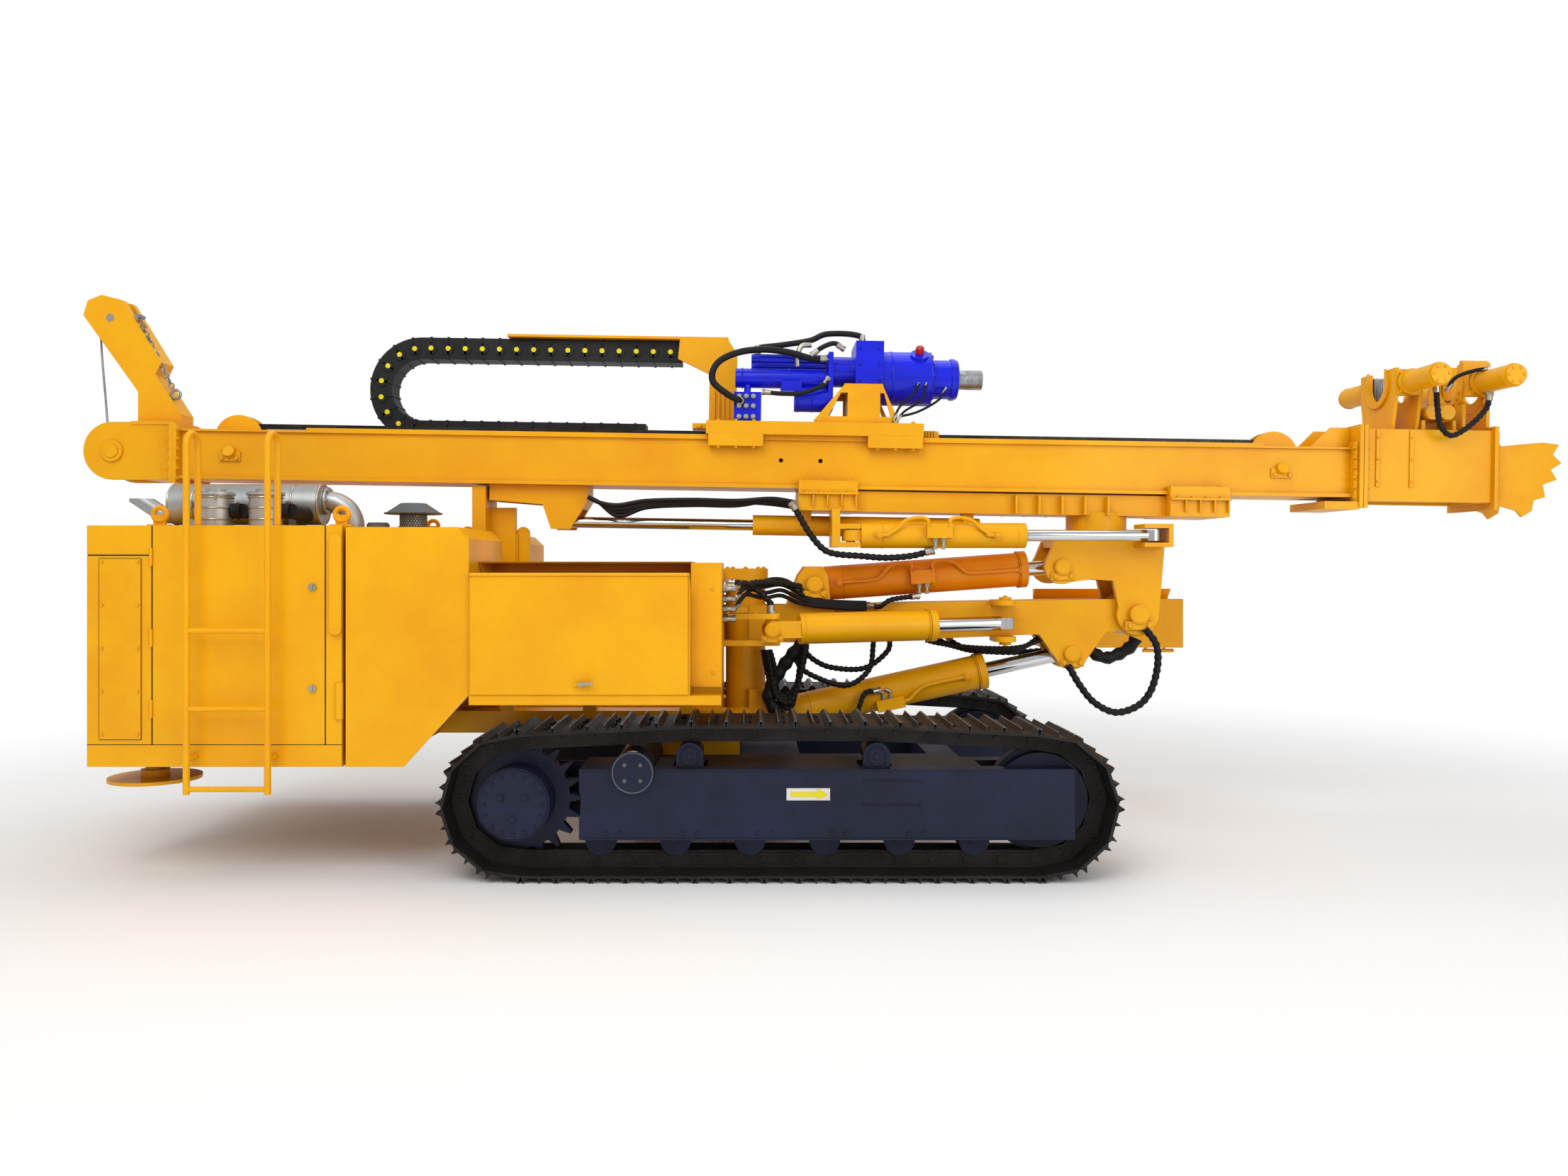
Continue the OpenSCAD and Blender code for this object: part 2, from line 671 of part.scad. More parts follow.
module lift_barrel() {
    color(yellow) aim(lift_pin, lift_eye, 0) barrel(1206, 98, rod_r, pin_r, 70, 250);
}
module lift_rod() {
    color(silver) aim(lift_pin, lift_eye, 0) rod(350, lift_len, rod_r, 60);
}
module tilt_barrel() {
    color(amber) aim(tilt_base, tilt_eye, 0) barrel(1235, barrel_r, rod_r, pin_r, 70, 150);
}
module tilt_rod() {
    color(silver) aim(tilt_base, tilt_eye, 0) rod(240, tilt_len, rod_r, 60);
}

// Bracket at the boom's head, turning about the main pin
module tilt_pin() {
    color(silver) {
        bar_y(main_pin[0], 0, main_pin[1], 55, boom_w + 130);
        bar_y(main_pin[0], 0, main_pin[1], hub_r, boom_w);
    }
}

module tilt_bracket() {
    color(yellow) {
        for (s = [-1, 1]) difference() {
            plate_y([[main_pin[0] - 90, main_pin[1] - 60], [main_pin[0] + 60, main_pin[1] - 90],
                [main_pin[0] + 120, main_pin[1]], [main_pin[0] + 150, 1650], [main_pin[0] + 150, 1700],
                [tilt_eye[0] - 40, 1700], [tilt_eye[0] - 95, tilt_eye[1] + 20], [tilt_eye[0] - 20, tilt_eye[1] - 95],
                [tilt_eye[0] + 170, tilt_eye[1] - 70], [main_pin[0] - 140, 1470]],
                s * (boom_w / 2 + 30) - 20, s * (boom_w / 2 + 30) + 20);
            bar_y(main_pin[0], 0, main_pin[1], 55 + fit, boom_w + 200);
        }
        // Round ends of the cheeks
        for (s = [-1, 1]) bar_y(tilt_eye[0], s * (boom_w / 2 + 30), tilt_eye[1], 98, 40);
        for (s = [-1, 1]) difference() {
            bar_y(main_pin[0], s * (boom_w / 2 + 30), main_pin[1], 118, 40);
            bar_y(main_pin[0], 0, main_pin[1], 55 + fit, boom_w + 200);
        }
        box(main_pin[0] + 100, main_pin[0] + 130, -boom_w / 2 - 20, boom_w / 2 + 20, 1400, 1690);
        difference() {
            union() {
                box(tilt_eye[0] - 40, main_pin[0] + 150, -boom_w / 2 - 50, boom_w / 2 + 50, 1660, 1700);
                // Lugs of the slew cylinder's eye
                for (z = [slew_z - 64, slew_z + 40])
                    box(slew_eye[0] - 60, slew_eye[0] + 90, slew_eye[1] - 50, -boom_w / 2 - 45, z, z + 24);
                box(slew_eye[0] + 75, slew_eye[0] + 100, slew_eye[1] - 50, -boom_w / 2 - 45, slew_z - 64, slew_z + 64);
            }
        }
        // Turntable ring and its pin
        bar_z(slew_x, 0, 1700, 1790, 70);
    }
}

module swing_cross() {
    color(yellow) {
        bar_z(swing_base[0], swing_base[1], 1122, 1296, 28);
        bar_z(swing_base[0], swing_base[1], 1152 + seat, 1266 - seat, 34);
        translate([swing_base[0], swing_base[1], swing_base[2]]) rotate([0, 0, swing_yaw])
            bar_y(0, 0, 0, 26, 150);
    }
}

module aim_swing() {
    translate(swing_base) rotate([0, 0, swing_yaw]) rotate([0, -swing_rise, 0]) children();
}

module swing_barrel() {
    color(yellow) aim_swing() {
        difference() {
            union() {
                bar_x(150, 918, 0, 0, 84);
                bar_x(880, 918, 0, 0, 90);
            }
            bar_x(230, 930, 0, 0, rod_r - 2 + fit);
        }
        for (s = [-1, 1]) difference() {
            union() {
                bar_y(0, s * 62, 0, 46, 22);
                box(0, 160, s * 62 - 11, s * 62 + 11, -46, 46);
            }
            bar_y(0, s * 62, 0, 26 + fit, 30);
        }
    }
}

module swing_rod() {
    color(silver) aim_swing() {
        bar_x(400, swing_len - 30, 0, 0, rod_r - 2);
        bar_z(swing_len, 0, -30, 30, 55);
    }
}

module slew_barrel() {
    color(yellow) translate(slew_base) difference() {
        union() {
            bar_x(55, 969, 0, 0, 70);
            bar_z(0, 0, -30, 30, 50);
            box(0, 70, -45, 45, -30, 30);
        }
        bar_x(130, 980, 0, 0, rod_r - 10 + fit);
        bar_z(0, 0, -40, 40, 25 + fit);
    }
}

module slew_rod() {
    color(silver) translate(slew_base) {
        bar_x(450, slew_len - 30, 0, 0, rod_r - 10);
        bar_z(slew_len, 0, -30, 30, 45);
    }
}

// Cradle under the mast, turning on the bracket's turntable
module cradle() {
    color(yellow) {
        on_mast() {
            difference() {
                box(-100, 2336, -150, 150, -125, -8);
                box(-80, 2316, -138, 138, -113, -20);
            }
            // Keeper blocks round the mast's lower flange
            for (u = [-100, 1996]) for (s = [-1, 1]) {
                box(u, u + 335, s * 205 - 20, s * 205 + 20, -125, 45);
                box(u, u + 335, s * 172 - 17, s * 172 + 17, 21, 45);
                box(u, u + 335, s * 165 - 20, s * 165 + 20, -125, -1);
            }
            // Ribs of the slide beam
            for (k = [0 : 4]) box(1130 + 130 * k, 1142 + 130 * k, -200, 200, -125, -20);
            // Barrel of the slide cylinder and its hangers
            difference() {
                union() {
                    bar_x(-355, 950, -60, -208, 58);
                    for (u = [-80, 850]) box(u, u + 60, -110, -10, -210, -120);
                }
                bar_x(-380, 900, -60, -208, 32 + fit);
            }
        }
        difference() {
            bar_z(slew_x, 0, 1700 + seat, 1860, 170);
            bar_z(slew_x, 0, 1690, 1791, 70 + fit);
        }
        // Lugs of the slew cylinder
        box(80, 125, -350, -100, 1660, 1870);
        for (z = [slew_z - 64, slew_z + 36]) difference() {
            box(80, 240, -350, -250, z, z + 28);
            bar_z(slew_base[0], slew_base[1], z - 5, z + 40, 22);
        }
        bar_z(slew_base[0], slew_base[1], slew_z - 64, slew_z + 64, 25);
    }
}

chain_y0 = 240;
chain_y1 = 400;
chain_u = -2359;
chain_w = 587;
chain_out_r = 315;
tray_w = chain_w - chain_out_r - seat;
module mast_beam() {
    color(yellow) on_mast() {
        difference() {
            union() {
                box(mast_u0, mast_u1, -mast_w / 2, mast_w / 2, 0, mast_h);
                box(mast_u0, mast_u1, -180, 180, 0, 20);
                box(mast_u0, mast_u1, -170, 170, mast_h - 12, mast_h);
                for (u = [mast_u0, mast_u1 - 20]) box(u, u + 20, -205, 205, -25, mast_h + 30);
            }
            box(mast_u0 - 10, mast_u1 + 10, -mast_w / 2 + mast_t, mast_w / 2 - mast_t, 20, mast_h - 12);
            for (u = [-200, 25]) bar_y(u, 0, 160, 12, mast_w + 20);
        }
        // Guards beside the chain's sprockets
        for (u = [-3336, 2650]) for (s = [-1, 1]) difference() {
            bar_y(u, s * 42, mast_h - 44, 141, 12);
            box(u - 150, u + 150, s * 42 - 10, s * 42 + 10, mast_h - 200, mast_h - 6);
        }
        // Gussets before the clamp box
        for (s = [-1, 1]) plate_y([[2830, mast_h - 4], [mast_u1, mast_h - 4], [mast_u1, mast_h + 118],
            [2950, mast_h + 118]], s * 100 - 8, s * 100 + 8);
        // Tray of the hose chain on the far side
        box(-3560, 0, mast_w / 2 - 2, 232, 210, 222);
        box(-3560, 0, 224, 232, 210, tray_w);
        box(-3560, 0, 224, 412, tray_w - 10, tray_w);
        box(-3560, 0, 404, 412, tray_w - 10, tray_w + 25);
        // Rails of the carriage
        for (s = [-1, 1]) box(-2900, 2540, s * 140 - 30, s * 140 + 30, mast_h, mast_h + 15);
        // Lug of the slide cylinder's rod
        difference() {
            plate_y([[-1865, 0], [-1865, -90], [-1560, -110], [-1510, -250], [-1400, -250],
                [-1303, -90], [-1303, 0]], -120, 120);
            box(-1840, -1330, -100, 100, -300, -1);
        }
        box(-1530, -1500, -105, 105, -170, -60);
    }
}

module slide_rod() {
    color(silver) on_mast() {
        bar_x(-1420, 20, -60, -208, 32);
        bar_y(-1453, -60, -208, 40, 60);
        bar_y(-1453, 0, -208, 20, 199);
    }
}

arm_outline = [[-4215, 3000], [-4190, 3085], [-4110, 3117], [-3985, 3085], [-3766, 2727],
    [-3800, 2660], [-3652, 2430], [-3652, 2370], [-3900, 2370], [-3900, 2560]];

module mast_tail() {
    color(yellow) {
        difference() {
            union() {
                for (s = [-1, 1]) {
                    bar_y(-4010, s * 135, 2212, 165, 20);
                    box(-4010, -3652, s * 135 - 10, s * 135 + 10, 2047, 2377);
                }
                box(-3830, -3652, -130, 130, 2047, 2377);
                box(-3900, -3652, -150, 150, 2361, 2381);
                on_mast() box(-3664, -3640, -205, 205, -25, mast_h + 30);
            }
            for (s = [-1, 1]) bar_y(-4010, s * 135, 2212, 40 + fit, 40);
            box(-3810, -3630, -118, 118, 2080, 2330);
        }
        for (s = [-1, 1]) difference() {
            bar_y(-4010, s * 152, 2212, 62, 14);
            bar_y(-4010, s * 152, 2212, 40 + fit, 40);
        }
        difference() {
            plate_y(arm_outline, -75, 75);
            plate_y([[-4300, 2860], [-4300, 3200], [-3800, 3200], [-3930, 2860]], -34, 34);
            bar_y(-4060, 0, 2985, 22 + fit, 200);
        }
    }
}

module winch_drum() {
    color(silver) {
        bar_y(-4010, 0, 2212, 90, 236);
        for (s = [-1, 1]) bar_y(-4010, s * 112, 2212, 145, 12);
        bar_y(-4010, 0, 2212, 40, 330);
    }
}

module head_sheave() {
    color(dark) translate([-4060, 0, 2985]) rotate([90, 0, 0]) {
        difference() {
            translate([0, 0, -20]) cylinder(r = 100, h = 40, $fn = 64);
            rotate_extrude($fn = 64) translate([104, 0]) circle(r = 14, $fn = 32);
        }
        translate([0, 0, -76]) cylinder(r = 22, h = 152, $fn = 48);
    }
}

module feed_chain() {
    color(dark) on_mast() {
        box(-3336, 2650, -22, 22, mast_h + 22, mast_h + 50);
        for (u = [-3336, 2650]) difference() {
            bar_y(u, 0, mast_h - 40, 90, 44);
            box(u - 100, u + 100, -30, 30, mast_h - 200, mast_h + seat);
        }
    }
}

clamp_u = 3350;
break_u = 3755;
module clamp_box() {
    color(yellow) on_mast() {
        difference() {
            union() {
                box(mast_u1, 3840, -200, 200, -20, mast_h + 103);
                for (u = [3060, 3085, 3820]) box(u, u + 22, -225, 225, -60, 410);
                for (u = [3160, 3350]) for (s = [-1, 1]) box(u, u + 20, s * 205 - 5, s * 205 + 5, 60, 380);
            }
            box(3100, 3810, -184, 184, 0, mast_h + 87);
            box(3150, 3780, -140, 140, -30, 200);
            box(3050, 3200, -140, 140, 30, 270);
        }
        box(2870, 3062, -215, 215, -70, -26);
        // Cylinder pair under the fixed clamp
        for (u = [3491, 3576]) bar_y(u, -60, mast_h + 205, 42, 250);
        for (u = [3446, 3621]) box(u - 10, u + 10, -170, 50, mast_h + 100, mast_h + 160);
        box(3440, 3620, -40, 0, mast_h + 100, mast_h + 200);
        // Saddles that carry the break-out clamp
        for (d = [-78, 58]) difference() {
            box(break_u + d, break_u + d + 20, -150, 150, mast_h + 100, drill_w - 115);
            bar_x(break_u + d - 5, break_u + d + 25, 0, drill_w, 151);
        }
    }
}

spade_outline = [[3842, -20], [3990, -60], [4020, -95], [4075, -60], [4085, 0], [4150, 20], [4135, 90],
    [4215, 120], [4180, 175], [4240, 215], [4190, 262], [4225, 320], [4130, 330], [3842, 300]];
module spade() {
    color(yellow) on_mast() {
        for (s = [-1, 1]) plate_y(spade_outline, s * 150 - 10, s * 150 + 10);
        box(3842, 3860, -200, 200, -30, 380);
        box(3860, 3980, -140, 140, 100, 120);
    }
}

// Carriage on the mast's rails
saddle_w = drill_w - 57;
module carriage() {
    u0 = head_u;
    color(yellow) on_mast() {
        difference() {
            union() {
                box(u0, u0 + 1230, -215, 215, mast_h + 67, mast_h + 90);
                box(u0, u0 + 1230, -215, -172, mast_h + 15, mast_h + 70);
                box(u0, u0 + 1230, 172, 215, mast_h + 15, mast_h + 70);
            }
        }
        for (u = [u0 + 14, u0 + 916]) for (s = [-1, 1]) {
            box(u, u + 310, s * 195 - 22, s * 195 + 22, mast_h - 52, mast_h + 20);
            box(u, u + 310, s * 165 - 13, s * 165 + 13, mast_h - 40, mast_h - 13);
            box(u, u + 310, s * 145 - 28, s * 145 + 28, mast_h + 16, mast_h + 70);
        }
        // Chain lug at the rear
        box(u0 - 85, u0 + 5, -60, 60, mast_h + 60, mast_h + 90);
        // Saddle under the head: two side plates with windows, webs and a top plate
        for (s = [-1, 1]) difference() {
            plate_y([[u0 + 610, mast_h + 88], [u0 + 1091, mast_h + 88], [u0 + 1091, mast_h + 104],
                [u0 + 995, saddle_w], [u0 + 786, saddle_w], [u0 + 610, mast_h + 104]], s * 173 - 8, s * 173 + 8);
            plate_y([[u0 + 690, mast_h + 128], [u0 + 800, mast_h + 128], [u0 + 800, saddle_w - 52],
                [u0 + 762, saddle_w - 52]], s * 173 - 12, s * 173 + 12);
            plate_y([[u0 + 985, mast_h + 128], [u0 + 1046, mast_h + 128], [u0 + 1006, saddle_w - 52],
                [u0 + 985, saddle_w - 52]], s * 173 - 12, s * 173 + 12);
        }
        for (u = [u0 + 812, u0 + 955]) box(u, u + 16, -175, 175, mast_h + 88, saddle_w - 10);
        box(u0 + 780, u0 + 1000, -181, 181, saddle_w - 18, saddle_w);
        // Leg and arm that carry the hose chain's end
        plate_y([[u0, mast_h + 88], [u0 + 165, mast_h + 88], [u0 + 165, 820], [u0 + 110, 907],
            [u0 - 180, 907], [u0 - 190, 790], [u0, 700]], 190, 215);
        box(u0 - 1215, u0 + 110, 190, 405, 907, 922);
    }
}

module rotary_head() {
    u0 = head_u;
    color(head_blue) on_mast() {
        // Gear case, round housing and nose
        box(u0 + 845, u0 + 1004, -165, 165, saddle_w + seat, drill_w + 190);
        bar_x(u0 + 1004, u0 + 1290, 0, drill_w, head_r + 5);
        bar_x(u0 + 1286, u0 + 1442, 0, drill_w, head_r - 38);
        bar_x(u0 + 1404, u0 + 1428, 0, drill_w, head_r - 30);
        translate([u0 + 1215, 0, drill_w]) rotate([40, 0, 0]) bar_z(0, 0, 120, 168, 52);
        // Motors on their flange plate
        bar_x(u0 + 715, u0 + 850, 0, drill_w + 35, 88);
        box(u0 + 690, u0 + 718, -160, 150, drill_w - 205, drill_w + 125);
        bar_x(u0 + 160, u0 + 695, -72, drill_w - 20, 56);
        bar_x(u0 + 250, u0 + 695, -60, drill_w + 95, 28);
        bar_x(u0 + 250, u0 + 695, 82, drill_w + 52, 62);
        bar_x(u0 + 500, u0 + 695, -80, drill_w - 135, 75);
        box(u0 + 420, u0 + 540, -150, -20, drill_w - 100, drill_w - 40);
        // Valve block and its pipe
        box(u0 + 155, u0 + 310, -190, -60, mast_h + 90 + seat, drill_w - 115);
        bar_z(u0 + 230, -90, drill_w - 120, drill_w - 60, 20);
    }
}

module spindle() {
    u0 = head_u;
    color(silver) on_mast() bar_x(u0 + 1442 + seat, u0 + 1590, 0, drill_w, spindle_r);
}

module energy_chain() {
    color(dark) on_mast() translate([chain_u, 0, chain_w]) {
        translate([0, chain_y1, 0]) rotate([90, 0, 0]) rotate([0, 0, 90])
            linear_extrude(chain_y1 - chain_y0) difference() {
                circle(r = 315, $fn = 96);
                circle(r = 185, $fn = 96);
                translate([-400, -400]) square([800, 400]);
            }
        box(0, 1560, chain_y0, chain_y1, 185, 315);
        box(0, 1350, chain_y0, chain_y1, -315, -185);
    }
}

// Clamps that hold the drill rods: two plates round the rod, open at the top, with a cylinder on each side
plate_gap = [-78, 58];
yoke_outline = [[-150, mast_h + 103], [150, mast_h + 103], [190, drill_w - 60], [190, drill_w + 82],
    [-190, drill_w + 82], [-190, drill_w - 60]];
cyl_y0 = 196;
cyl_y1 = 490;

// A plate across the mast, from u0 to u1, its outline in [v, w]
module plate_x(points, u0, u1) {
    translate([u0, 0, 0]) rotate([90, 0, 90]) linear_extrude(u1 - u0) polygon(points);
}

module clamp_cylinders(u) {
    for (s = [-1, 1]) {
        difference() {
            union() {
                box(u - 72, u + 72, s * 168 - 28, s * 168 + 28, drill_w - 72, drill_w + 72);
                bar_y(u, s * (cyl_y0 + cyl_y1) / 2, drill_w, clamp_r, cyl_y1 - cyl_y0);
                bar_y(u, s * (cyl_y0 + 20), drill_w, clamp_r + 10, 24);
            }
            bar_y(u, s * 260, drill_w, 32 + fit, 400);
        }
    }
}

module rod_way(u) {
    bar_x(u - 100, u + 100, 0, drill_w, 92);
    box(u - 100, u + 100, -92, 92, drill_w, drill_w + 300);
}

module fixed_clamp() {
    color(yellow) on_mast() {
        for (d = plate_gap) difference() {
            plate_x(yoke_outline, clamp_u + d, clamp_u + d + 20);
            rod_way(clamp_u);
        }
        clamp_cylinders(clamp_u);
        // Guide ring before the yoke
        difference() {
            bar_x(clamp_u + plate_gap[0] - 14, clamp_u + plate_gap[0], 0, drill_w, 128);
            rod_way(clamp_u);
        }
    }
}

module jaw(side) {
    color(silver) on_mast() translate([clamp_u, 0, drill_w]) each_side(side) {
        box(-52, 52, -110, -86, -60, 60);
        bar_y(0, -210, 0, 32, 210);
    }
}

module break_clamp() {
    color(yellow) on_mast() {
        for (d = plate_gap) difference() {
            bar_x(break_u + d, break_u + d + 20, 0, drill_w, 150);
            rod_way(break_u);
        }
        clamp_cylinders(break_u);
        // Ears on top and the lever of the turning cylinder
        for (s = [-1, 1]) plate_x([[s * 96, drill_w + 60], [s * 150, drill_w + 60], [s * 150, drill_w + 120],
            [s * 118, drill_w + 140]], break_u - 78, break_u + 78);
    }
    color(silver) on_mast() for (s = [-1, 1]) {
        box(break_u - 52, break_u + 52, s * 98 - 12, s * 98 + 12, drill_w - 60, drill_w + 60);
        bar_y(break_u, s * 160, drill_w, 32, 100);
    }
}

// Hoses, each one swept along a short list of points
hose_sides = 8;
function dir_at(path, i) = unit(path[min(i + 1, len(path) - 1)] - path[max(i - 1, 0)]);
function hose_ring(path, i, r, ref) =
    let (d = dir_at(path, i), a = unit(cross(ref, d)), b = cross(d, a))
    [for (k = [0 : hose_sides - 1]) path[i] + r * (a * cos(360 / hose_sides * k) + b * sin(360 / hose_sides * k))];
function next(k) = (k + 1) % hose_sides;

module hose(path, r, ref) {
    last = len(path) - 1;
    points = [for (i = [0 : last]) each hose_ring(path, i, r, ref)];
    walls = [for (i = [0 : last - 1], k = [0 : hose_sides - 1])
        [i * hose_sides + k, (i + 1) * hose_sides + k, (i + 1) * hose_sides + next(k), i * hose_sides + next(k)]];
    ends = [[for (k = [0 : hose_sides - 1]) k],
        [for (k = [hose_sides - 1 : -1 : 0]) last * hose_sides + k]];
    polyhedron(points = points, faces = concat(walls, ends), convexity = 4);
}

across = [0, 1, 0];
box_end = box_x1 + 154;
// Height of the boom's underside
function boom_under(x) = let (z = foot_z - boom_h / 2)
    z + (main_pin[1] - 100 - z) * (x - 400) / (main_pin[0] - 520);
front_loop = [[1862, -192.3, 1200], [1925, -192, 1110], [1935, -188, 990], [1900, -182, 850], [1826, -180, 762],
    [1700, -178, 724], [1580, -175, 780], [1500, -160, 880], [1440, -142.3, 990]];
under_duct = [[1872, 0, 1132], [1848, 0, 1090], [1780, 0, 1045], [1690, 0, 1020], [1610, 0, 1065],
    [1600, 0, 1120], [1600, 0, boom_under(1560) - seat]];
under_line = [[790, 140.3, 1150], [840, 142, 1095], [950, 142, 1058], [1178, 142, 1042], [1392, 140, 1060],
    [1480, 140.3, 1130]];
module boom_hoses() {
    color(dark) {
        hose(front_loop, 22, across);
        hose(under_duct, 40, across);
        hose(under_line, 20, across);
    }
}

knuckle_line = [[box_end + seat, -590, 1440], [-450, -590, 1440], [-330, -500, 1465], [-180, -320, 1455],
    [-100, -230, 1440], [-100, -160 - seat, 1440]];
swing_line = [[box_end + seat, -540, 1465], [-440, -540, 1465], [-330, -510, 1420], [-262, -470, 1350],
    [-262, -470, 1296 + seat]];
base_duct = [[-200, -217.3, 700], [-268, -217, 815], [-226, -215, 929], [-130, -208, 1060], [-60, -202.3, 1140]];
module base_hoses() {
    color(dark) {
        hose(knuckle_line, 19, [0, 0, 1]);
        hose(swing_line, 19, across);
        hose(base_duct, 42, across);
    }
}

cradle_line = [[-137, -250, 1907], [-95, -262, 1830], [-40, -285, 1735], [30, -312, 1652], [100, -322, 1622],
    [240, -332, 1610], [384, -336, 1600], [528, -338, 1612], [640, -338, 1642]];
module cradle_hose() {
    color(dark) hose(cradle_line, 20, across);
}

head_lines = [
    [[-430, -190.3, 2485], [-430, -228, 2485], [-500, -240, 2520], [-585, -225, 2600], [-560, -200, 2700],
        [-450, -170, 2765], [-300, -140, 2790], [-150, -128, 2775], [-20, -125, 2740], [73.4, -125, 2740]],
    [[-330, -60, 2779], [-330, -60, 2812], [-192, -70, 2828], [-30, -80, 2852], [60, -80, 2888],
        [190, -80, 2890], [270, -80, 2872], [270, -80, 2836.6]]
];
module head_hoses() {
    color(dark) for (line = head_lines) hose(line, 19, [0, 0.97, 0.25]);
}

clamp_line = [[3470, -262, 2570], [3474, -268, 2440], [3489, -272, 2340], [3547, -274, 2284], [3640, -272, 2330],
    [3735, -268, 2420], [3765, -262, 2480], [3765, -262, 2527.3]];
module clamp_hoses() {
    color(dark) hose(clamp_line, 17, across);
}

track_frame(-1);  // track_frame_near
track_frame(1);  // track_frame_far
track_belt(-1);  // track_near
track_belt(1);  // track_far
drive(-1);  // drive_near
drive(1);  // drive_far
rollers(-1);  // rollers_near
rollers(1);  // rollers_far
chassis_frame();
engine_hood();
engine_block();
exhaust();
tank(-1);  // fuel_tank
tank(1);  // oil_tank
rain_cap();
control_box();
control_levers();
control_door();
ladder();
mast_rest();
boom_post();
jack(-1);  // jack_near
jack(1);  // jack_far
console_arm();
console_box();
swing_knuckle();
boom();
lift_barrel();
lift_rod();
tilt_barrel();
tilt_rod();
tilt_pin();
tilt_bracket();
swing_cross();
swing_barrel();
swing_rod();
cradle();
slew_barrel();
slew_rod();
mast_beam();
slide_rod();
mast_tail();
winch_drum();
head_sheave();
feed_chain();
clamp_box();
spade();
carriage();
rotary_head();
spindle();
energy_chain();
fixed_clamp();
jaw(-1);  // jaw_near
jaw(1);  // jaw_far
break_clamp();
boom_hoses();
base_hoses();
cradle_hose();
head_hoses();
clamp_hoses();
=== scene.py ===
"""Looks of a crawler drilling rig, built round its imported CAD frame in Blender 4.5.

The CAD nodes keep their shape and place here and only take on finishes. What a photograph shows beyond
them, such as bolts, hoses, chain links, hydraulic lines and panel screws, is added as pieces that ride
on the CAD bodies. Lengths are metres in the row frame: +X to the front, +Y to the far side, +Z up.
"""

from __future__ import annotations

import logging
import math
import random
from dataclasses import dataclass, field
from enum import Enum
from typing import Callable, Iterable, Sequence

import bpy
from mathutils import Matrix, Vector

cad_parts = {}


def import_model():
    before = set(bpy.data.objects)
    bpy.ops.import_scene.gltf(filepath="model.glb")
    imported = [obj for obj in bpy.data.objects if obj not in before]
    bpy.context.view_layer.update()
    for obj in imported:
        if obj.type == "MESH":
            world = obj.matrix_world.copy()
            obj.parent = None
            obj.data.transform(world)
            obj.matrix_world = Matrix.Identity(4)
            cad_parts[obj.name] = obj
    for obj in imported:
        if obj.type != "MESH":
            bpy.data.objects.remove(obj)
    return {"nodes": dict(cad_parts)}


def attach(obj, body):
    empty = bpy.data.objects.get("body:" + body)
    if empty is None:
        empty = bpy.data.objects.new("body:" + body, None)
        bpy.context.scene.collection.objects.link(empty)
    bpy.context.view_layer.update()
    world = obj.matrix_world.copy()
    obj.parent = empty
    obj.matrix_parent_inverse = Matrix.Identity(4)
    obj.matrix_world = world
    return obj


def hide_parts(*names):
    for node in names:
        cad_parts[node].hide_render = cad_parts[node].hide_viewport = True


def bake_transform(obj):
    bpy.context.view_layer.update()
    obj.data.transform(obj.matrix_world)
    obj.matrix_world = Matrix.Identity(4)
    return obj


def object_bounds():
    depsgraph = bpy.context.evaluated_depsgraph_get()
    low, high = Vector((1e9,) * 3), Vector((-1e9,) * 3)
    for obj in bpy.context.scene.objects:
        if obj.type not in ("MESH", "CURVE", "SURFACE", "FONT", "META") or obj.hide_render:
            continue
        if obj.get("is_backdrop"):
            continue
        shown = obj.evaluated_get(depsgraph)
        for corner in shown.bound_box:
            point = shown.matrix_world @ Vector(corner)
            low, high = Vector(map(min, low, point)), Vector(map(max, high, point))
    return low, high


logging.basicConfig(level=logging.INFO, format="%(message)s")
LOG = logging.getLogger("drilling_rig")

MAST_SLOPE = math.radians(0.92)
MAST_Z = 1.993
MAST_H = 0.285
HEAD_U = -0.628
DRILL_W = MAST_H + 0.372
TRACK_Y = 0.85
SHOE_COUNT = 42

Point = Sequence[float]


def on_mast(u: float, v: float, w: float) -> Vector:
    """Turns mast coordinates into row-frame coordinates.

    Args:
        u: Distance along the mast, towards the rod clamps.
        v: Distance across the mast, towards the far side.
        w: Height above the mast's underside.

    Returns:
        The same point in the row frame.
    """
    cos_t, sin_t = math.cos(MAST_SLOPE), math.sin(MAST_SLOPE)
    return Vector((u * cos_t + w * sin_t, v, MAST_Z - u * sin_t + w * cos_t))


def linear(code: str) -> tuple[float, float, float, float]:
    """Turns an sRGB hex code into a linear colour with alpha 1.

    Args:
        code: Six hex digits, with or without a leading hash.

    Returns:
        Red, green, blue and alpha for a shader socket.
    """
    digits = code.lstrip("#")
    channels = [int(digits[i : i + 2], 16) / 255 for i in (0, 2, 4)]
    red, green, blue = [c / 12.92 if c <= 0.04045 else ((c + 0.055) / 1.055) ** 2.4 for c in channels]
    return red, green, blue, 1.0


def add_node(tree: bpy.types.NodeTree, kind: str, sockets: dict, **settings) -> bpy.types.Node:
    """Adds one node, sets its options and fills or links its sockets.

    Args:
        tree: The node tree that takes the node.
        kind: The node's type name.
        sockets: Values or output sockets by the input's name or index.
        settings: Attributes of the node itself.

    Returns:
        The new node.
    """
    node = tree.nodes.new(kind)
    for name, value in settings.items():
        setattr(node, name, value)
    for key, value in sockets.items():
        if isinstance(value, bpy.types.NodeSocket):
            tree.links.new(value, node.inputs[key])
        else:
            node.inputs[key].default_value = value
    return node


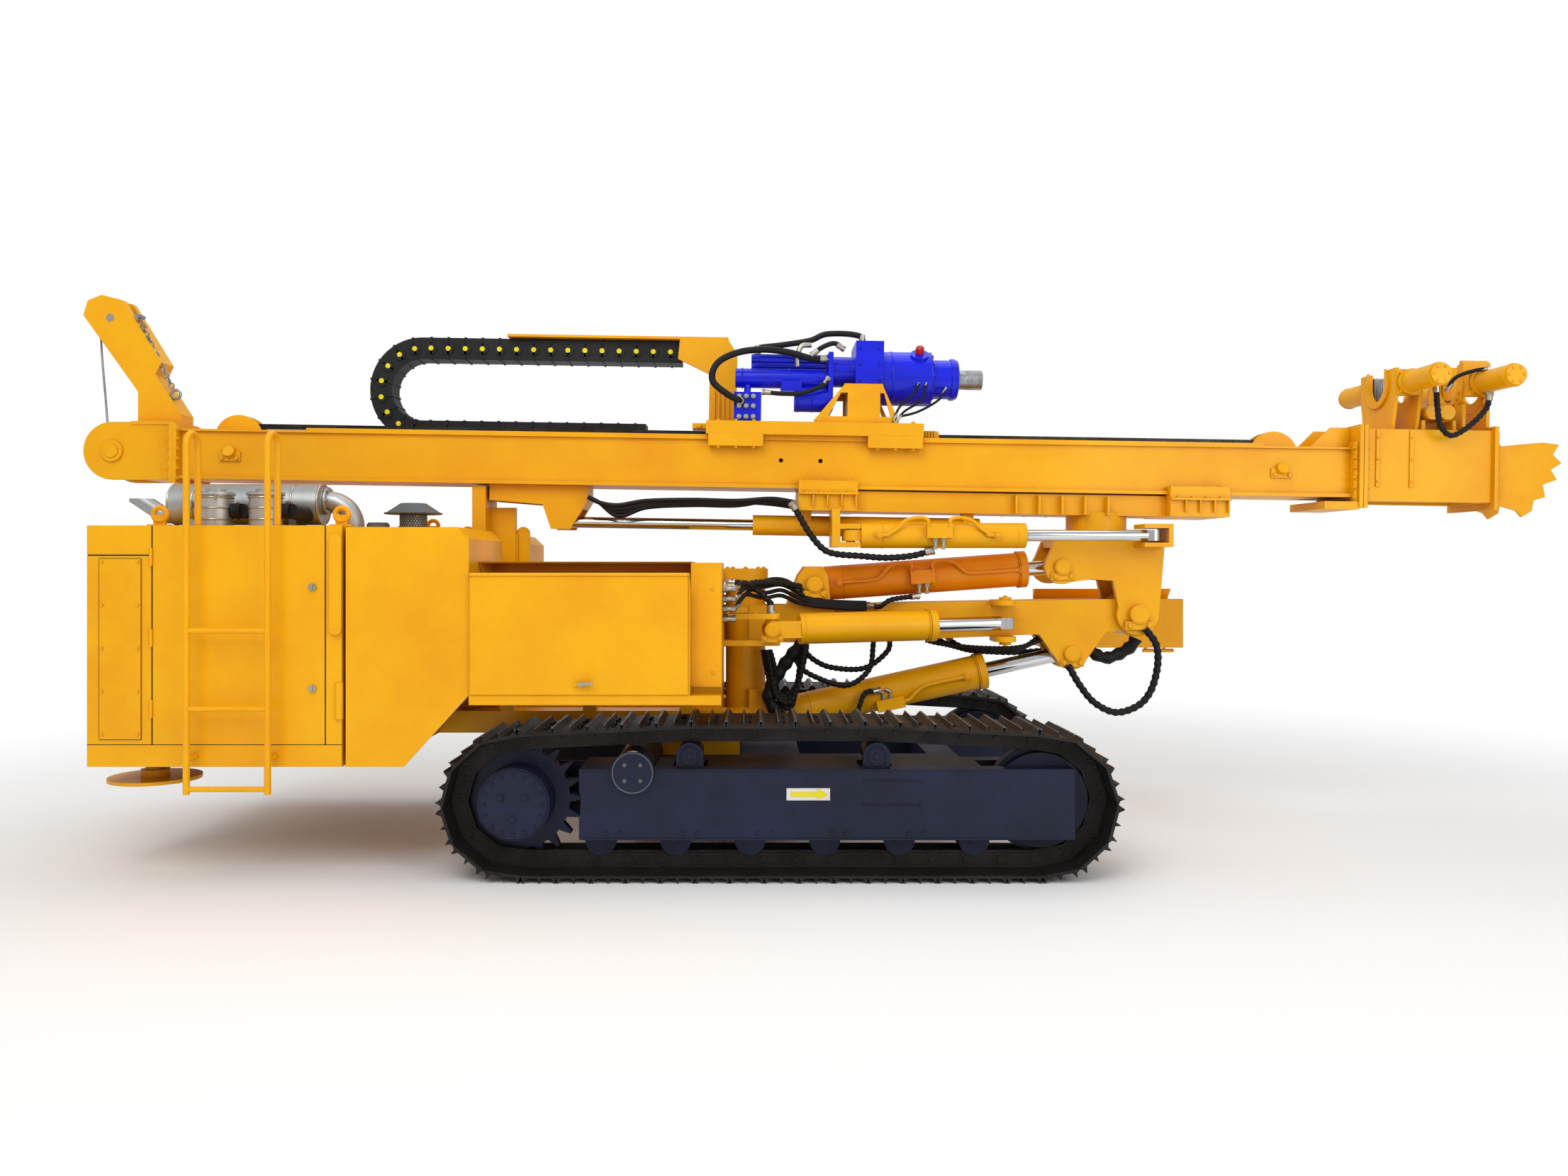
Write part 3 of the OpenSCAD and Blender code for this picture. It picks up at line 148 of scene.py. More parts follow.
class Slot(Enum):
    """Material slots of the record."""

    YELLOW = "yellow_paint"
    AMBER = "amber_paint"
    BLUE_BLACK = "blue_black_paint"
    TRACK = "track_steel"
    CHROME = "chromed_rod"
    EXHAUST = "exhaust_steel"
    PLASTIC = "black_plastic"
    HEAD = "head_blue"
    ENGINE = "engine_iron"
    RUBBER = "hose_rubber"


@dataclass(frozen=True)
class Finish:
    """One surface finish.

    Args:
        slot: Slot of the record that the finish belongs to. Not used.
        base: Main colour, sRGB hex.
        second: Colour that wanders through the main one in large soft patches, sRGB hex.
        grain_and_shade: Colour of the fine grain, and of the painted shade that darkens corners and seams, sRGB hex.
        corner_shade_share: How strong that painted shade is in the deepest corners.
        metal: Metallic share.
        rough: Mean roughness.
        spread: How far the roughness wanders from its mean.
        coat: Weight of the clear coat.
        bump: Depth of the fine surface texture, in metres.
        edge: Radius by which edges look rounded, in metres.
        patch: Size of the colour patches, in patches per metre.
        speck: Share of the fine grain in the colour.
        shine: Strength of the mirror-like part of a paint or plastic.
    """

    slot: Slot
    base: str
    second: str
    grain_and_shade: str
    corner_shade_share: float = 0.5
    metal: float = 0.0
    rough: float = 0.4
    spread: float = 0.12
    coat: float = 0.0
    bump: float = 0.0004
    edge: float = 0.003
    patch: float = 2.2
    speck: float = 0.06
    shine: float = 0.22

    def material(self, name: str) -> bpy.types.Material:
        """Builds the finish as a procedural material on object coordinates.

        Args:
            name: Name of the new material.

        Returns:
            The material.
        """
        made = bpy.data.materials.new(name)
        made.use_nodes = True
        made.diffuse_color = linear(self.base)
        tree = made.node_tree
        tree.nodes.clear()
        place = add_node(tree, "ShaderNodeTexCoord", {}).outputs["Object"]
        patches = add_node(
            tree, "ShaderNodeTexNoise", {"Vector": place, "Scale": self.patch, "Detail": 5.0, "Roughness": 0.6}
        ).outputs["Fac"]
        grain = add_node(
            tree, "ShaderNodeTexNoise", {"Vector": place, "Scale": 160.0, "Detail": 3.0, "Roughness": 0.7}
        ).outputs["Fac"]
        soft = add_node(
            tree,
            "ShaderNodeMapRange",
            {"Value": patches, "From Min": 0.35, "From Max": 0.68, "To Min": 0.0, "To Max": 1.0},
        ).outputs["Result"]
        colour = self._mix(tree, soft, linear(self.base), linear(self.second))
        colour = self._mix(tree, self._scaled(tree, grain, self.speck * 4, -self.speck), colour, linear(self.grain_and_shade))
        # Painted shade: ambient occlusion darkens corners, seams and recesses towards the fourth colour, broken up by
        # the patches.
        corner = add_node(tree, "ShaderNodeAmbientOcclusion", {"Distance": 0.09}, samples=4).outputs["AO"]
        shade_depth = self._scaled(tree, corner, -1.6 * self.corner_shade_share, 1.25 * self.corner_shade_share)
        patchy_shade = add_node(tree, "ShaderNodeMath", {0: shade_depth, 1: patches}, operation="MULTIPLY").outputs[0]
        painted_shade = self._scaled(tree, patchy_shade, 1.7, 0.0)
        colour = self._mix(tree, painted_shade, colour, linear(self.grain_and_shade))
        rough = self._scaled(tree, patches, 2 * self.spread, self.rough - self.spread)
        rounded = add_node(tree, "ShaderNodeBevel", {"Radius": self.edge}, samples=3).outputs["Normal"]
        normal = add_node(
            tree,
            "ShaderNodeBump",
            {"Strength": 1.0, "Distance": self.bump, "Height": grain, "Normal": rounded},
        ).outputs["Normal"]
        shader = add_node(
            tree,
            "ShaderNodeBsdfPrincipled",
            {
                "Base Color": colour,
                "Metallic": self.metal,
                "Roughness": rough,
                "Coat Weight": self.coat,
                "Coat Roughness": 0.12,
                "Specular IOR Level": self.shine,
                "Normal": normal,
            },
        )
        add_node(tree, "ShaderNodeOutputMaterial", {"Surface": shader.outputs["BSDF"]})
        return made

    @staticmethod
    def _scaled(tree: bpy.types.NodeTree, value: bpy.types.NodeSocket, times: float, plus: float):
        """Adds value * times + plus, held between 0 and 1."""
        return add_node(
            tree, "ShaderNodeMath", {0: value, 1: times, 2: plus}, operation="MULTIPLY_ADD", use_clamp=True
        ).outputs[0]

    @staticmethod
    def _mix(tree: bpy.types.NodeTree, share, first, second):
        """Adds a colour mix and returns its output."""
        return add_node(tree, "ShaderNodeMix", {0: share, 6: first, 7: second}, data_type="RGBA").outputs[2]


# The fourth colour is the fine grain's tone and also the painted shade in corners; the number after it sets how
# strong that painted corner shade is.
FINISHES = {
    "yellow": Finish(Slot.YELLOW, "#f6b300", "#eea300", "#8a4d00", 0.45, rough=0.42, coat=0.12),
    "amber": Finish(Slot.AMBER, "#f49408", "#e87f04", "#7c3a00", 0.45, rough=0.4, coat=0.12),
    "blue_black": Finish(Slot.BLUE_BLACK, "#1c2340", "#12172a", "#2e2a26", 0.45, rough=0.48, coat=0.04, speck=0.08),
    "track": Finish(
        Slot.TRACK, "#2b2b2e", "#1a1a1c", "#4a4136", 0.55, metal=0.55, rough=0.5, patch=6.0, speck=0.16, bump=0.0012
    ),
    "worn": Finish(Slot.TRACK, "#b9bbbd", "#85878a", "#3c3833", 0.5, metal=0.9, rough=0.36, patch=9.0, speck=0.12),
    "chrome": Finish(
        Slot.CHROME, "#e2e4e6", "#c9ccd0", "#6a6c70", 0.3, metal=1.0, rough=0.12, spread=0.04, bump=0.0, speck=0.0
    ),
    "silver": Finish(Slot.EXHAUST, "#c3c5c4", "#a5a8a8", "#5d5346", 0.5, metal=0.75, rough=0.42, patch=5.0),
    "fitting": Finish(Slot.CHROME, "#c8c4b4", "#a9a698", "#55503f", 0.5, metal=0.9, rough=0.3, edge=0.001),
    "plastic": Finish(Slot.PLASTIC, "#1d1d1f", "#131314", "#37342f", 0.4, rough=0.46, speck=0.06),
    "grey": Finish(Slot.PLASTIC, "#6b6f70", "#55595b", "#2b2a28", 0.5, rough=0.55),
    "blue": Finish(Slot.HEAD, "#0a1ff0", "#0818c8", "#030a48", 0.45, rough=0.3, coat=0.25),
    "red": Finish(Slot.HEAD, "#cf1c1c", "#a81313", "#400606", 0.4, rough=0.35, coat=0.4),
    "iron": Finish(Slot.ENGINE, "#3a3b3d", "#29292b", "#191714", 0.5, metal=0.5, rough=0.5),
    "rubber": Finish(Slot.RUBBER, "#161617", "#0e0e0f", "#3b3833", 0.5, rough=0.5, bump=0.0008, speck=0.05),
    "grease": Finish(Slot.TRACK, "#3d3a33", "#26241f", "#0e0d0b", 0.6, metal=0.6, rough=0.3, patch=12.0, edge=0.001),
    "white": Finish(Slot.YELLOW, "#e6e4dc", "#d6d3c8", "#8a867b", 0.4, rough=0.45),
    "lemon": Finish(Slot.YELLOW, "#f2e21a", "#e6d410", "#8a7f10", 0.4, rough=0.45),
}


class Paints:
    """Makes each finish once and hands it out."""

    made: dict[str, bpy.types.Material] = {}

    @classmethod
    def get(cls, key: str) -> bpy.types.Material:
        """Returns the material of a finish, making it at the first call.

        Args:
            key: Name of the finish in FINISHES.

        Returns:
            The shared material.
        """
        if key not in cls.made:
            cls.made[key] = FINISHES[key].material(key)
        return cls.made[key]


def activate(obj: bpy.types.Object) -> None:
    """Makes obj the only selected and the active object."""
    bpy.ops.object.select_all(action="DESELECT")
    obj.select_set(True)
    bpy.context.view_layer.objects.active = obj


def turned(direction: Vector) -> tuple[float, float, float]:
    """Euler angles that turn +Z to a direction."""
    return tuple(direction.to_track_quat("Z", "Y").to_euler())


class Piece:
    """One mesh piece, built up in edit mode from primitives and finished at the origin."""

    def __init__(self, name: str, finish: str, body: str):
        """Starts an empty piece.

        Args:
            name: Name of the piece.
            finish: Key of its finish.
            body: CAD body that it rides on.
        """
        self.name, self.finish, self.body = name, finish, body
        self.shapes: list[tuple[Callable, dict]] = []

    def block(self, middle: Point, size: Point, turn: Point = (0, 0, 0)) -> None:
        """Adds a box by its middle, its size along its own axes and its turn."""
        self._add(bpy.ops.mesh.primitive_cube_add, size=1, location=tuple(middle), rotation=tuple(turn), scale=size)

    def mast_block(self, low: Point, high: Point) -> None:
        """Adds a box by its two corners in mast coordinates."""
        middle = [(a + b) / 2 for a, b in zip(low, high)]
        size = [b - a for a, b in zip(low, high)]
        self.block(on_mast(*middle), size, (0, MAST_SLOPE, 0))

    def bar(self, start: Point, end: Point, radius: float, sides: int = 20, top: float | None = None) -> None:
        """Adds a round bar or a cone between two points."""
        a, b = Vector(start), Vector(end)
        if top is None:
            self._add(
                bpy.ops.mesh.primitive_cylinder_add,
                vertices=sides,
                radius=radius,
                depth=(b - a).length,
                location=(a + b) / 2,
                rotation=turned(b - a),
            )
        else:
            self._add(
                bpy.ops.mesh.primitive_cone_add,
                vertices=sides,
                radius1=radius,
                radius2=top,
                depth=(b - a).length,
                location=(a + b) / 2,
                rotation=turned(b - a),
            )

    def bolt(self, seat: Point, out: Point, size: float = 0.012, washer: bool = True) -> None:
        """Adds a hexagon head on a washer.

        Args:
            seat: Middle of the bolt on the surface.
            out: Direction away from the surface.
            size: Radius of the head.
            washer: Whether a washer lies under it.
        """
        a, d = Vector(seat), Vector(out).normalized()
        if washer:
            self.bar(a - d * 0.001, a + d * size * 0.25, size * 1.35, 16)
        self.bar(a, a + d * size * 0.95, size, 6)

    def ring(self, middle: Point, axis: Point, major: float, minor: float, sides: int = 32) -> None:
        """Adds a torus round an axis."""
        self._add(
            bpy.ops.mesh.primitive_torus_add,
            location=tuple(middle),
            rotation=turned(Vector(axis)),
            major_radius=major,
            minor_radius=minor,
            major_segments=sides,
            minor_segments=10,
        )

    def ball(self, middle: Point, radius: float) -> None:
        """Adds a sphere."""
        self._add(
            bpy.ops.mesh.primitive_uv_sphere_add, segments=16, ring_count=10, radius=radius, location=tuple(middle)
        )

    def _add(self, shape: Callable, **settings) -> None:
        """Keeps one primitive until the piece is made."""
        self.shapes.append((shape, settings))

    def done(self, smooth: bool = True) -> bpy.types.Object:
        """Makes the mesh, gives it its finish and puts it on its body.

        Args:
            smooth: Whether faces at small angles shade as one surface.

        Returns:
            The finished object.
        """
        bpy.ops.object.select_all(action="DESELECT")
        bpy.ops.mesh.primitive_plane_add(location=(0, 0, 0))
        obj = bpy.context.active_object
        obj.name = obj.data.name = self.name
        bpy.ops.object.mode_set(mode="EDIT")
        bpy.ops.mesh.select_all(action="SELECT")
        bpy.ops.mesh.delete(type="VERT")
        for shape, settings in self.shapes:
            shape(**settings)
        bpy.ops.object.mode_set(mode="OBJECT")
        if smooth:
            bpy.ops.object.shade_smooth_by_angle(angle=math.radians(32))
        return settle(obj, self.finish, self.body)


def settle(obj: bpy.types.Object, finish: str, body: str) -> bpy.types.Object:
    """Gives a finished piece its material and body.

    Args:
        obj: The piece, at the origin.
        finish: Key of its finish.
        body: CAD body that it rides on, or an empty name for none.

    Returns:
        The same object.
    """
    obj.data.materials.clear()
    obj.data.materials.append(Paints.get(finish))
    if body:
        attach(obj, body)
    LOG.info("piece %s: %d faces, %s", obj.name, len(obj.data.polygons), body)
    return obj


def smooth_line(points: Iterable[Point], step: float) -> list[Vector]:
    """Runs a smooth line through points.

    Args:
        points: Points that the line passes.
        step: Distance between the returned points.

    Returns:
        Points along the line, evenly spaced.
    """
    knots = [Vector(p) for p in points]
    knots = [knots[0] * 2 - knots[1], *knots, knots[-1] * 2 - knots[-2]]
    dense: list[Vector] = []
    for a, b, c, d in zip(knots, knots[1:], knots[2:], knots[3:]):
        for i in range(24):
            t = i / 24
            dense.append(
                0.5
                * (2 * b + (c - a) * t + (2 * a - 5 * b + 4 * c - d) * t * t + (3 * b - a - 3 * c + d) * t * t * t)
            )
    dense.append(knots[-2])
    total = sum((q - p).length for p, q in zip(dense, dense[1:]))
    count = max(2, round(total / step))
    line, travelled, wanted = [dense[0]], 0.0, total / count
    for p, q in zip(dense, dense[1:]):
        part = (q - p).length
        while part > 1e-9 and wanted <= travelled + part + 1e-9 and len(line) <= count:
            line.append(p.lerp(q, (wanted - travelled) / part))
            wanted += total / count
        travelled += part
    return line


class Corrugation(Enum):
    """Outer shape of a hose."""

    PLAIN = 0.0
    SPIRAL = 0.13
    WRAPPED = 0.24


def tube(
    name: str,
    points: Iterable[Point],
    radius: float,
    finish: str,
    body: str,
    shape: Corrugation = Corrugation.PLAIN,
    sides: int = 3,
) -> bpy.types.Object:
    """Makes a hose or line along a smooth path.

    Args:
        name: Name of the piece.
        points: Points that its middle passes.
        radius: Its outer radius.
        finish: Key of its finish.
        body: CAD body that it rides on.
        shape: Outer shape of the hose.
        sides: Bevel resolution round the hose.

    Returns:
        The finished mesh object.
    """
    step = radius * (1.0 if shape is Corrugation.PLAIN else 0.42)
    line = smooth_line(points, max(step, 0.004))
    bpy.ops.object.select_all(action="DESELECT")
    bpy.ops.curve.primitive_nurbs_path_add(location=(0, 0, 0))
    obj = bpy.context.active_object
    obj.name = name
    curve = obj.data
    curve.splines.clear()
    spline = curve.splines.new("POLY")
    spline.points.add(len(line) - 1)
    for i, p in enumerate(line):
        spline.points[i].co = (*p, 1.0)
        wave = 0.5 - 0.5 * math.cos(i * math.pi * 0.5)
        spline.points[i].radius = 1.0 - shape.value * wave
    curve.bevel_depth = radius
    curve.bevel_resolution = sides
    curve.use_fill_caps = True
    activate(obj)
    bpy.ops.object.convert(target="MESH")
    obj = bpy.context.active_object
    obj.name = obj.data.name = name
    bpy.ops.object.shade_smooth()
    return settle(obj, finish, body)


@dataclass(frozen=True)
class Wheel:
    """One wheel of the chain line, in the XZ plane."""

    x: float
    z: float
    radius: float


@dataclass
class ChainLine:
    """Line that the track's pins follow round its four wheels."""

    wheels: tuple[Wheel, ...] = (
        Wheel(-1.541, 0.377, 0.297),
        Wheel(-0.673, 0.607, 0.110),
        Wheel(0.259, 0.607, 0.110),
        Wheel(1.088, 0.377, 0.297),
    )

    def pins(self) -> list[Vector]:
        """Returns the pins' places, evenly spaced along the line."""
        spans: list[tuple[Wheel, float, float, Vector, Vector]] = []
        count = len(self.wheels)
        leaves = []
        for i, a in enumerate(self.wheels):
            b = self.wheels[(i + 1) % count]
            gap = math.hypot(b.x - a.x, b.z - a.z)
            leaves.append(math.atan2(b.z - a.z, b.x - a.x) + math.acos((a.radius - b.radius) / gap))
        for i, a in enumerate(self.wheels):
            b = self.wheels[(i + 1) % count]
            turn = (leaves[i - 1] - leaves[i]) % (2 * math.pi)
            start = Vector((a.x + a.radius * math.cos(leaves[i]), a.z + a.radius * math.sin(leaves[i])))
            end = Vector((b.x + b.radius * math.cos(leaves[i]), b.z + b.radius * math.sin(leaves[i])))
            spans.append((a, turn, leaves[i], start, end))
        total = sum(a.radius * turn + (end - start).length for a, turn, _, start, end in spans)
        first = spans[0][0].radius * spans[0][1] / 2
        return [self._at(spans, (first + total * k / SHOE_COUNT) % total) for k in range(SHOE_COUNT)]

    @staticmethod
    def _at(spans: list, way: float) -> Vector:
        """Returns the point at a distance along the line."""
        for a, turn, leave, start, end in spans:
            arc = a.radius * turn
            if way < arc:
                angle = leave + turn - way / a.radius
                return Vector((a.x + a.radius * math.cos(angle), a.z + a.radius * math.sin(angle)))
            way -= arc
            straight = (end - start).length
            if way < straight:
                return start.lerp(end, way / straight)
            way -= straight
        return spans[0][3]


@dataclass
class Undercarriage:
    """Links, pins and bolts of the tracks, and the fasteners of their frames."""

    strip_out: float = 0.079
    pin_radius: float = 0.019
    frame_face: float = 1.040
    line: ChainLine = field(default_factory=ChainLine)

    def build(self) -> None:
        """Builds both tracks' links and the frames' fittings."""
        for side, name in ((-1, "near"), (1, "far")):
            self._links(side, name)
            self._shoe_bolts(side, name)
            self._frame(side, name)
            self._drive(side, name)
        self._arrow()

    def _links(self, side: int, name: str) -> None:
        """Link plates with round pin bosses on both outer faces of the chain."""
        links = Piece(f"track_links_{name}", "track", "chassis")
        pins = self.line.pins()
        for a, b in zip(pins, pins[1:] + pins[:1]):
            middle, along = (a + b) / 2, b - a
            turn = -math.atan2(along.y, along.x)
            for face in (-1, 1):
                y = side * TRACK_Y + face * self.strip_out
                links.block((middle.x, y, middle.y), (along.length * 0.62, 0.006, 0.066), (0, turn, 0))
                links.bar((a.x, y - 0.004, a.y), (a.x, y + 0.004, a.y), 0.037, 20)
                links.bar((a.x, y + face * 0.003, a.y), (a.x, y + face * 0.012, a.y), self.pin_radius, 16)
        links.done()

    def _shoe_bolts(self, side: int, name: str) -> None:
        """Four bolts on every shoe, worn bright where the grousers run."""
        bolts = Piece(f"shoe_bolts_{name}", "track", "chassis")
        edges = Piece(f"grouser_edges_{name}", "worn", "chassis")
        pins = self.line.pins()
        for a, b in zip(pins, pins[1:] + pins[:1]):
            middle, along = (a + b) / 2, (b - a).normalized()
            out = Vector((-along.y, along.x))
            turn = -math.atan2(along.y, along.x)
            for v in (-0.12, -0.06, 0.06, 0.12):
                seat = middle + out * 0.055 + along * 0.031
                bolts.bolt((seat.x, side * TRACK_Y + v, seat.y), (out.x, 0, out.y), 0.011, False)
            for shift in (-1, 0, 1):
                tip = middle + out * 0.0785 + along * (0.0815 * shift)
                edges.block((tip.x, side * TRACK_Y, tip.y), (0.004, 0.498, 0.005), (0, turn, 0))
        bolts.done()
        edges.done()

    def _frame(self, side: int, name: str) -> None:
        """Cover outline, bolts, weld lines and the cross tube's cap on the outer face."""
        y = side * self.frame_face
        trim = Piece(f"frame_trim_{name}", "blue_black", "chassis")
        for x, z, width, height in ((0.33, 0.375, 0.29, 0.004), (0.33, 0.495, 0.29, 0.004)):
            trim.block((x, y + side * 0.002, z), (width, 0.004, height))
        for x in (0.19, 0.47):
            for z in (0.38, 0.49):
                trim.bolt((x, y, z), (0, side, 0), 0.007, False)
        trim.block((-0.15, y + side * 0.003, 0.548), (2.10, 0.006, 0.006))
        trim.block((-0.15, y + side * 0.003, 0.205), (2.10, 0.006, 0.008))
        for x in (-1.05, -0.67, -0.30, 0.07, 0.45):
            for step in (-0.035, 0.035):
                trim.bolt((x + step, y, 0.235), (0, side, 0), 0.010)
        trim.done()
        cap = Piece(f"cross_tube_cap_{name}", "grey", "chassis")
        cap_y = side * 1.061
        for angle in (45, 135, 225, 315):
            dx, dz = 0.055 * math.cos(math.radians(angle)), 0.055 * math.sin(math.radians(angle))
            cap.bolt((-0.952 + dx, cap_y, 0.535 + dz), (0, side, 0), 0.008)
        cap.ring((-0.952, cap_y - side * 0.004, 0.535), (0, 1, 0), 0.099, 0.005, 40)
        cap.done()

    @staticmethod
    def _drive(side: int, name: str) -> None:
        """Bolt circle and plugs of the final drive, and rims of the carrier brackets."""
        drive = Piece(f"drive_bolts_{name}", "blue_black", "chassis")
        for k in range(16):
            angle = 2 * math.pi * k / 16
            place = (-1.541 + 0.146 * math.cos(angle), side * 1.061, 0.377 + 0.146 * math.sin(angle))
            drive.bolt(place, (0, side, 0), 0.009, False)
        for angle in (-90, 30, 150):
            dx, dz = 0.07 * math.cos(math.radians(angle)), 0.07 * math.sin(math.radians(angle))
            drive.bolt((-1.541 + dx, side * 1.061, 0.377 + dz), (0, side, 0), 0.014)
        drive.ring((-1.541, side * 1.060, 0.377), (0, 1, 0), 0.166, 0.005, 48)
        for x in (-0.673, 0.259):
            drive.ring((x, side * 0.995, 0.607), (0, 1, 0), 0.045, 0.006, 28)
            drive.bolt((x, side * 0.994, 0.607), (0, side, 0), 0.015)
            for dx in (-0.05, 0.05):
                drive.bolt((x + dx, side * 0.994, 0.565), (0, side, 0), 0.009)
        drive.done()

    @staticmethod
    def _arrow() -> None:
        """White plate with a lemon arrow on the near frame."""
        plate = Piece("arrow_plate", "white", "chassis")
        plate.block((-0.085, -1.0413, 0.427), (0.215, 0.002, 0.060))
        plate.done()
        arrow = Piece("arrow_sign", "lemon", "chassis")
        arrow.block((-0.105, -1.0431, 0.427), (0.130, 0.002, 0.022))
        for k in range(12):
            arrow.block((-0.038 + 0.004 * k, -1.0431, 0.427), (0.004, 0.002, 0.050 - 0.004 * k))
        arrow.done()


@dataclass
class House:
    """Screws, latches, eyes and pipes of the engine house and its neighbours."""

    face: float = -1.050
    roof: float = 1.755

    def build(self) -> None:
        """Builds the pieces of both sides and the roof."""
        self._covers()
        self._fittings()
        self._roof()
        self._exhaust()
        self._grille()
        self._control_box()

    def _covers(self) -> None:
        """Screwed covers, their seams and the sill's seam."""
        for side, name in ((-1, "near"), (1, "far")):
            y = side * 1.055
            screws = Piece(f"cover_screws_{name}", "yellow", "chassis")
            for x in (-3.566, -3.389):
                for k in range(5):
                    screws.bolt((x, y, 0.725 + 0.2125 * k), (0, side, 0), 0.0075, False)
            screws.done()
            seams = Piece(f"panel_seams_{name}", "plastic", "chassis")
            for x in (-3.5805, -3.3745):
                seams.block((x, side * 1.0535, 1.145), (0.002, 0.003, 0.892))
            for z in (0.699, 1.591):
                seams.block((-3.4775, side * 1.0535, z), (0.208, 0.003, 0.002))
            seams.block((-3.014, side * 1.0503, 0.673), (1.256, 0.002, 0.003))
            seams.block((-3.322, side * 1.0495, 1.213), (0.005, 0.003, 1.08))
            seams.block((-2.467, side * 1.0495, 1.213), (0.005, 0.003, 1.08))
            seams.block((-3.483, side * 1.0495, 1.608), (0.312, 0.003, 0.005))
            seams.done()

    def _fittings(self) -> None:
        """Hinge cover, door hinges and latches on the hood's sides."""
        trim = Piece("hood_trim", "yellow", "chassis")
        for side in (-1, 1):
            trim.block((-2.412, side * 1.061, 1.465), (0.060, 0.022, 0.440))
            for z in (1.245, 1.685):
                trim.bar((-2.412, side * 1.050, z), (-2.412, side * 1.0712, z), 0.030, 28)
            for z in (0.85, 1.20, 1.60):
                trim.bar((-3.325, side * 1.056, z - 0.045), (-3.325, side * 1.056, z + 0.045), 0.008, 16)
            trim.bar((-2.40, side * 1.048, 0.80), (-2.40, side * 1.048, 0.98), 0.020, 20)
        trim.done()
        latches = Piece("hood_latches", "fitting", "chassis")
        for side in (-1, 1):
            for x, z in ((-2.53, 0.95), (-2.53, 1.45)):
                latches.bar((x, side * 1.050, z), (x, side * 1.060, z), 0.019, 28)
                latches.block((x, side * 1.063, z), (0.008, 0.008, 0.030))
        latches.done()

    def _roof(self) -> None:
        """Lifting eyes, tank caps, edge seam and the perforated neck of the rain cap."""
        eyes = Piece("roof_eyes", "yellow", "chassis")
        for x, y in ((-3.378, -0.86), (-2.452, -0.86), (-3.378, 0.86), (-2.452, 0.86)):
            eyes.block((x, y, self.roof + 0.030), (0.060, 0.016, 0.062))
            eyes.ring((x, y, self.roof + 0.062), (0, 1, 0), 0.034, 0.013, 24)
            eyes.block((x, y, self.roof + 0.005), (0.110, 0.050, 0.012))
        eyes.done()
        caps = Piece("tank_caps", "grey", "chassis")
        caps.bar((-2.318, -0.70, self.roof), (-2.318, -0.70, self.roof + 0.026), 0.052, 28)
        for k in range(6):
            angle = 2 * math.pi * k / 6
            at = (-2.318 + 0.043 * math.cos(angle), -0.70 + 0.043 * math.sin(angle), self.roof + 0.018)
            caps.bolt(at, (0, 0, 1), 0.006, False)
        caps.ring((-2.162, -0.60, self.roof + 0.006), (0, 0, 1), 0.072, 0.006, 36)
        caps.ring((-2.162, -0.60, self.roof + 0.078), (0, 0, 1), 0.147, 0.004, 48)
        caps.done()
        mesh = Piece("cap_mesh", "silver", "chassis")
        for row in range(5):
            for k in range(30):
                angle = 2 * math.pi * (k + 0.5 * (row % 2)) / 30
                at = Vector((-2.162, -0.60, self.roof + 0.014 + 0.012 * row))
                out = Vector((math.cos(angle), math.sin(angle), 0))
                mesh.bar(at + out * 0.068, at + out * 0.0715, 0.0052, 6)
        mesh.done()

    def _exhaust(self) -> None:
        """Bands, flange bolts and filter housings on the roof."""
        steel = Piece("exhaust_bands", "fitting", "chassis")
        for x in (-3.42, -2.88):
            steel.ring((x, -0.33, 1.895), (1, 0, 0), 0.114, 0.006, 48)
            steel.block((x, -0.455, 1.888), (0.030, 0.026, 0.036))
        for x in (-3.552, -2.738):
            steel.ring((x, -0.33, 1.895), (1, 0, 0), 0.110, 0.007, 48)
        for k in range(6):
            angle = 2 * math.pi * k / 6
            at = (-2.706, -0.33 + 0.066 * math.cos(angle), 1.915 + 0.066 * math.sin(angle))
            steel.bolt(at, (1, 0, 0), 0.008)
        for x in (-3.192, -2.930):
            for z in (1.80, 1.86, 1.915):
                steel.ring((x, -0.64, z), (0, 0, 1), 0.085, 0.005, 40)
            for k in range(3):
                angle = 2 * math.pi * k / 3 - 1.2
                out = Vector((math.cos(angle), math.sin(angle), 0))
                steel.bar(Vector((x, -0.64, 1.90)) + out * 0.09, Vector((x, -0.64, 1.945)) + out * 0.09, 0.006, 10)
        steel.done()
        ducts = Piece("filter_ducts", "rubber", "chassis")
        for x in (-3.105, -2.845):
            ducts.bar((x, -0.64, 1.845), (x + 0.045, -0.64, 1.845), 0.040, 28)
            ducts.ring((x + 0.030, -0.64, 1.845), (1, 0, 0), 0.040, 0.006, 28)
        ducts.bar((-2.800, -0.64, 1.845), (-2.800, -0.40, 1.835), 0.040, 28)
        ducts.bar((-3.060, -0.64, 1.845), (-3.060, -0.44, 1.845), 0.040, 28)
        ducts.done()

    @staticmethod
    def _grille() -> None:
        """Radiator core behind the rear grille."""
        core = Piece("radiator_core", "iron", "chassis")
        core.block((-3.610, 0.0, 1.25), (0.012, 1.34, 0.74))
        for k in range(52):
            core.block((-3.619, -0.637 + 0.025 * k, 1.25), (0.008, 0.003, 0.70))
        core.done()

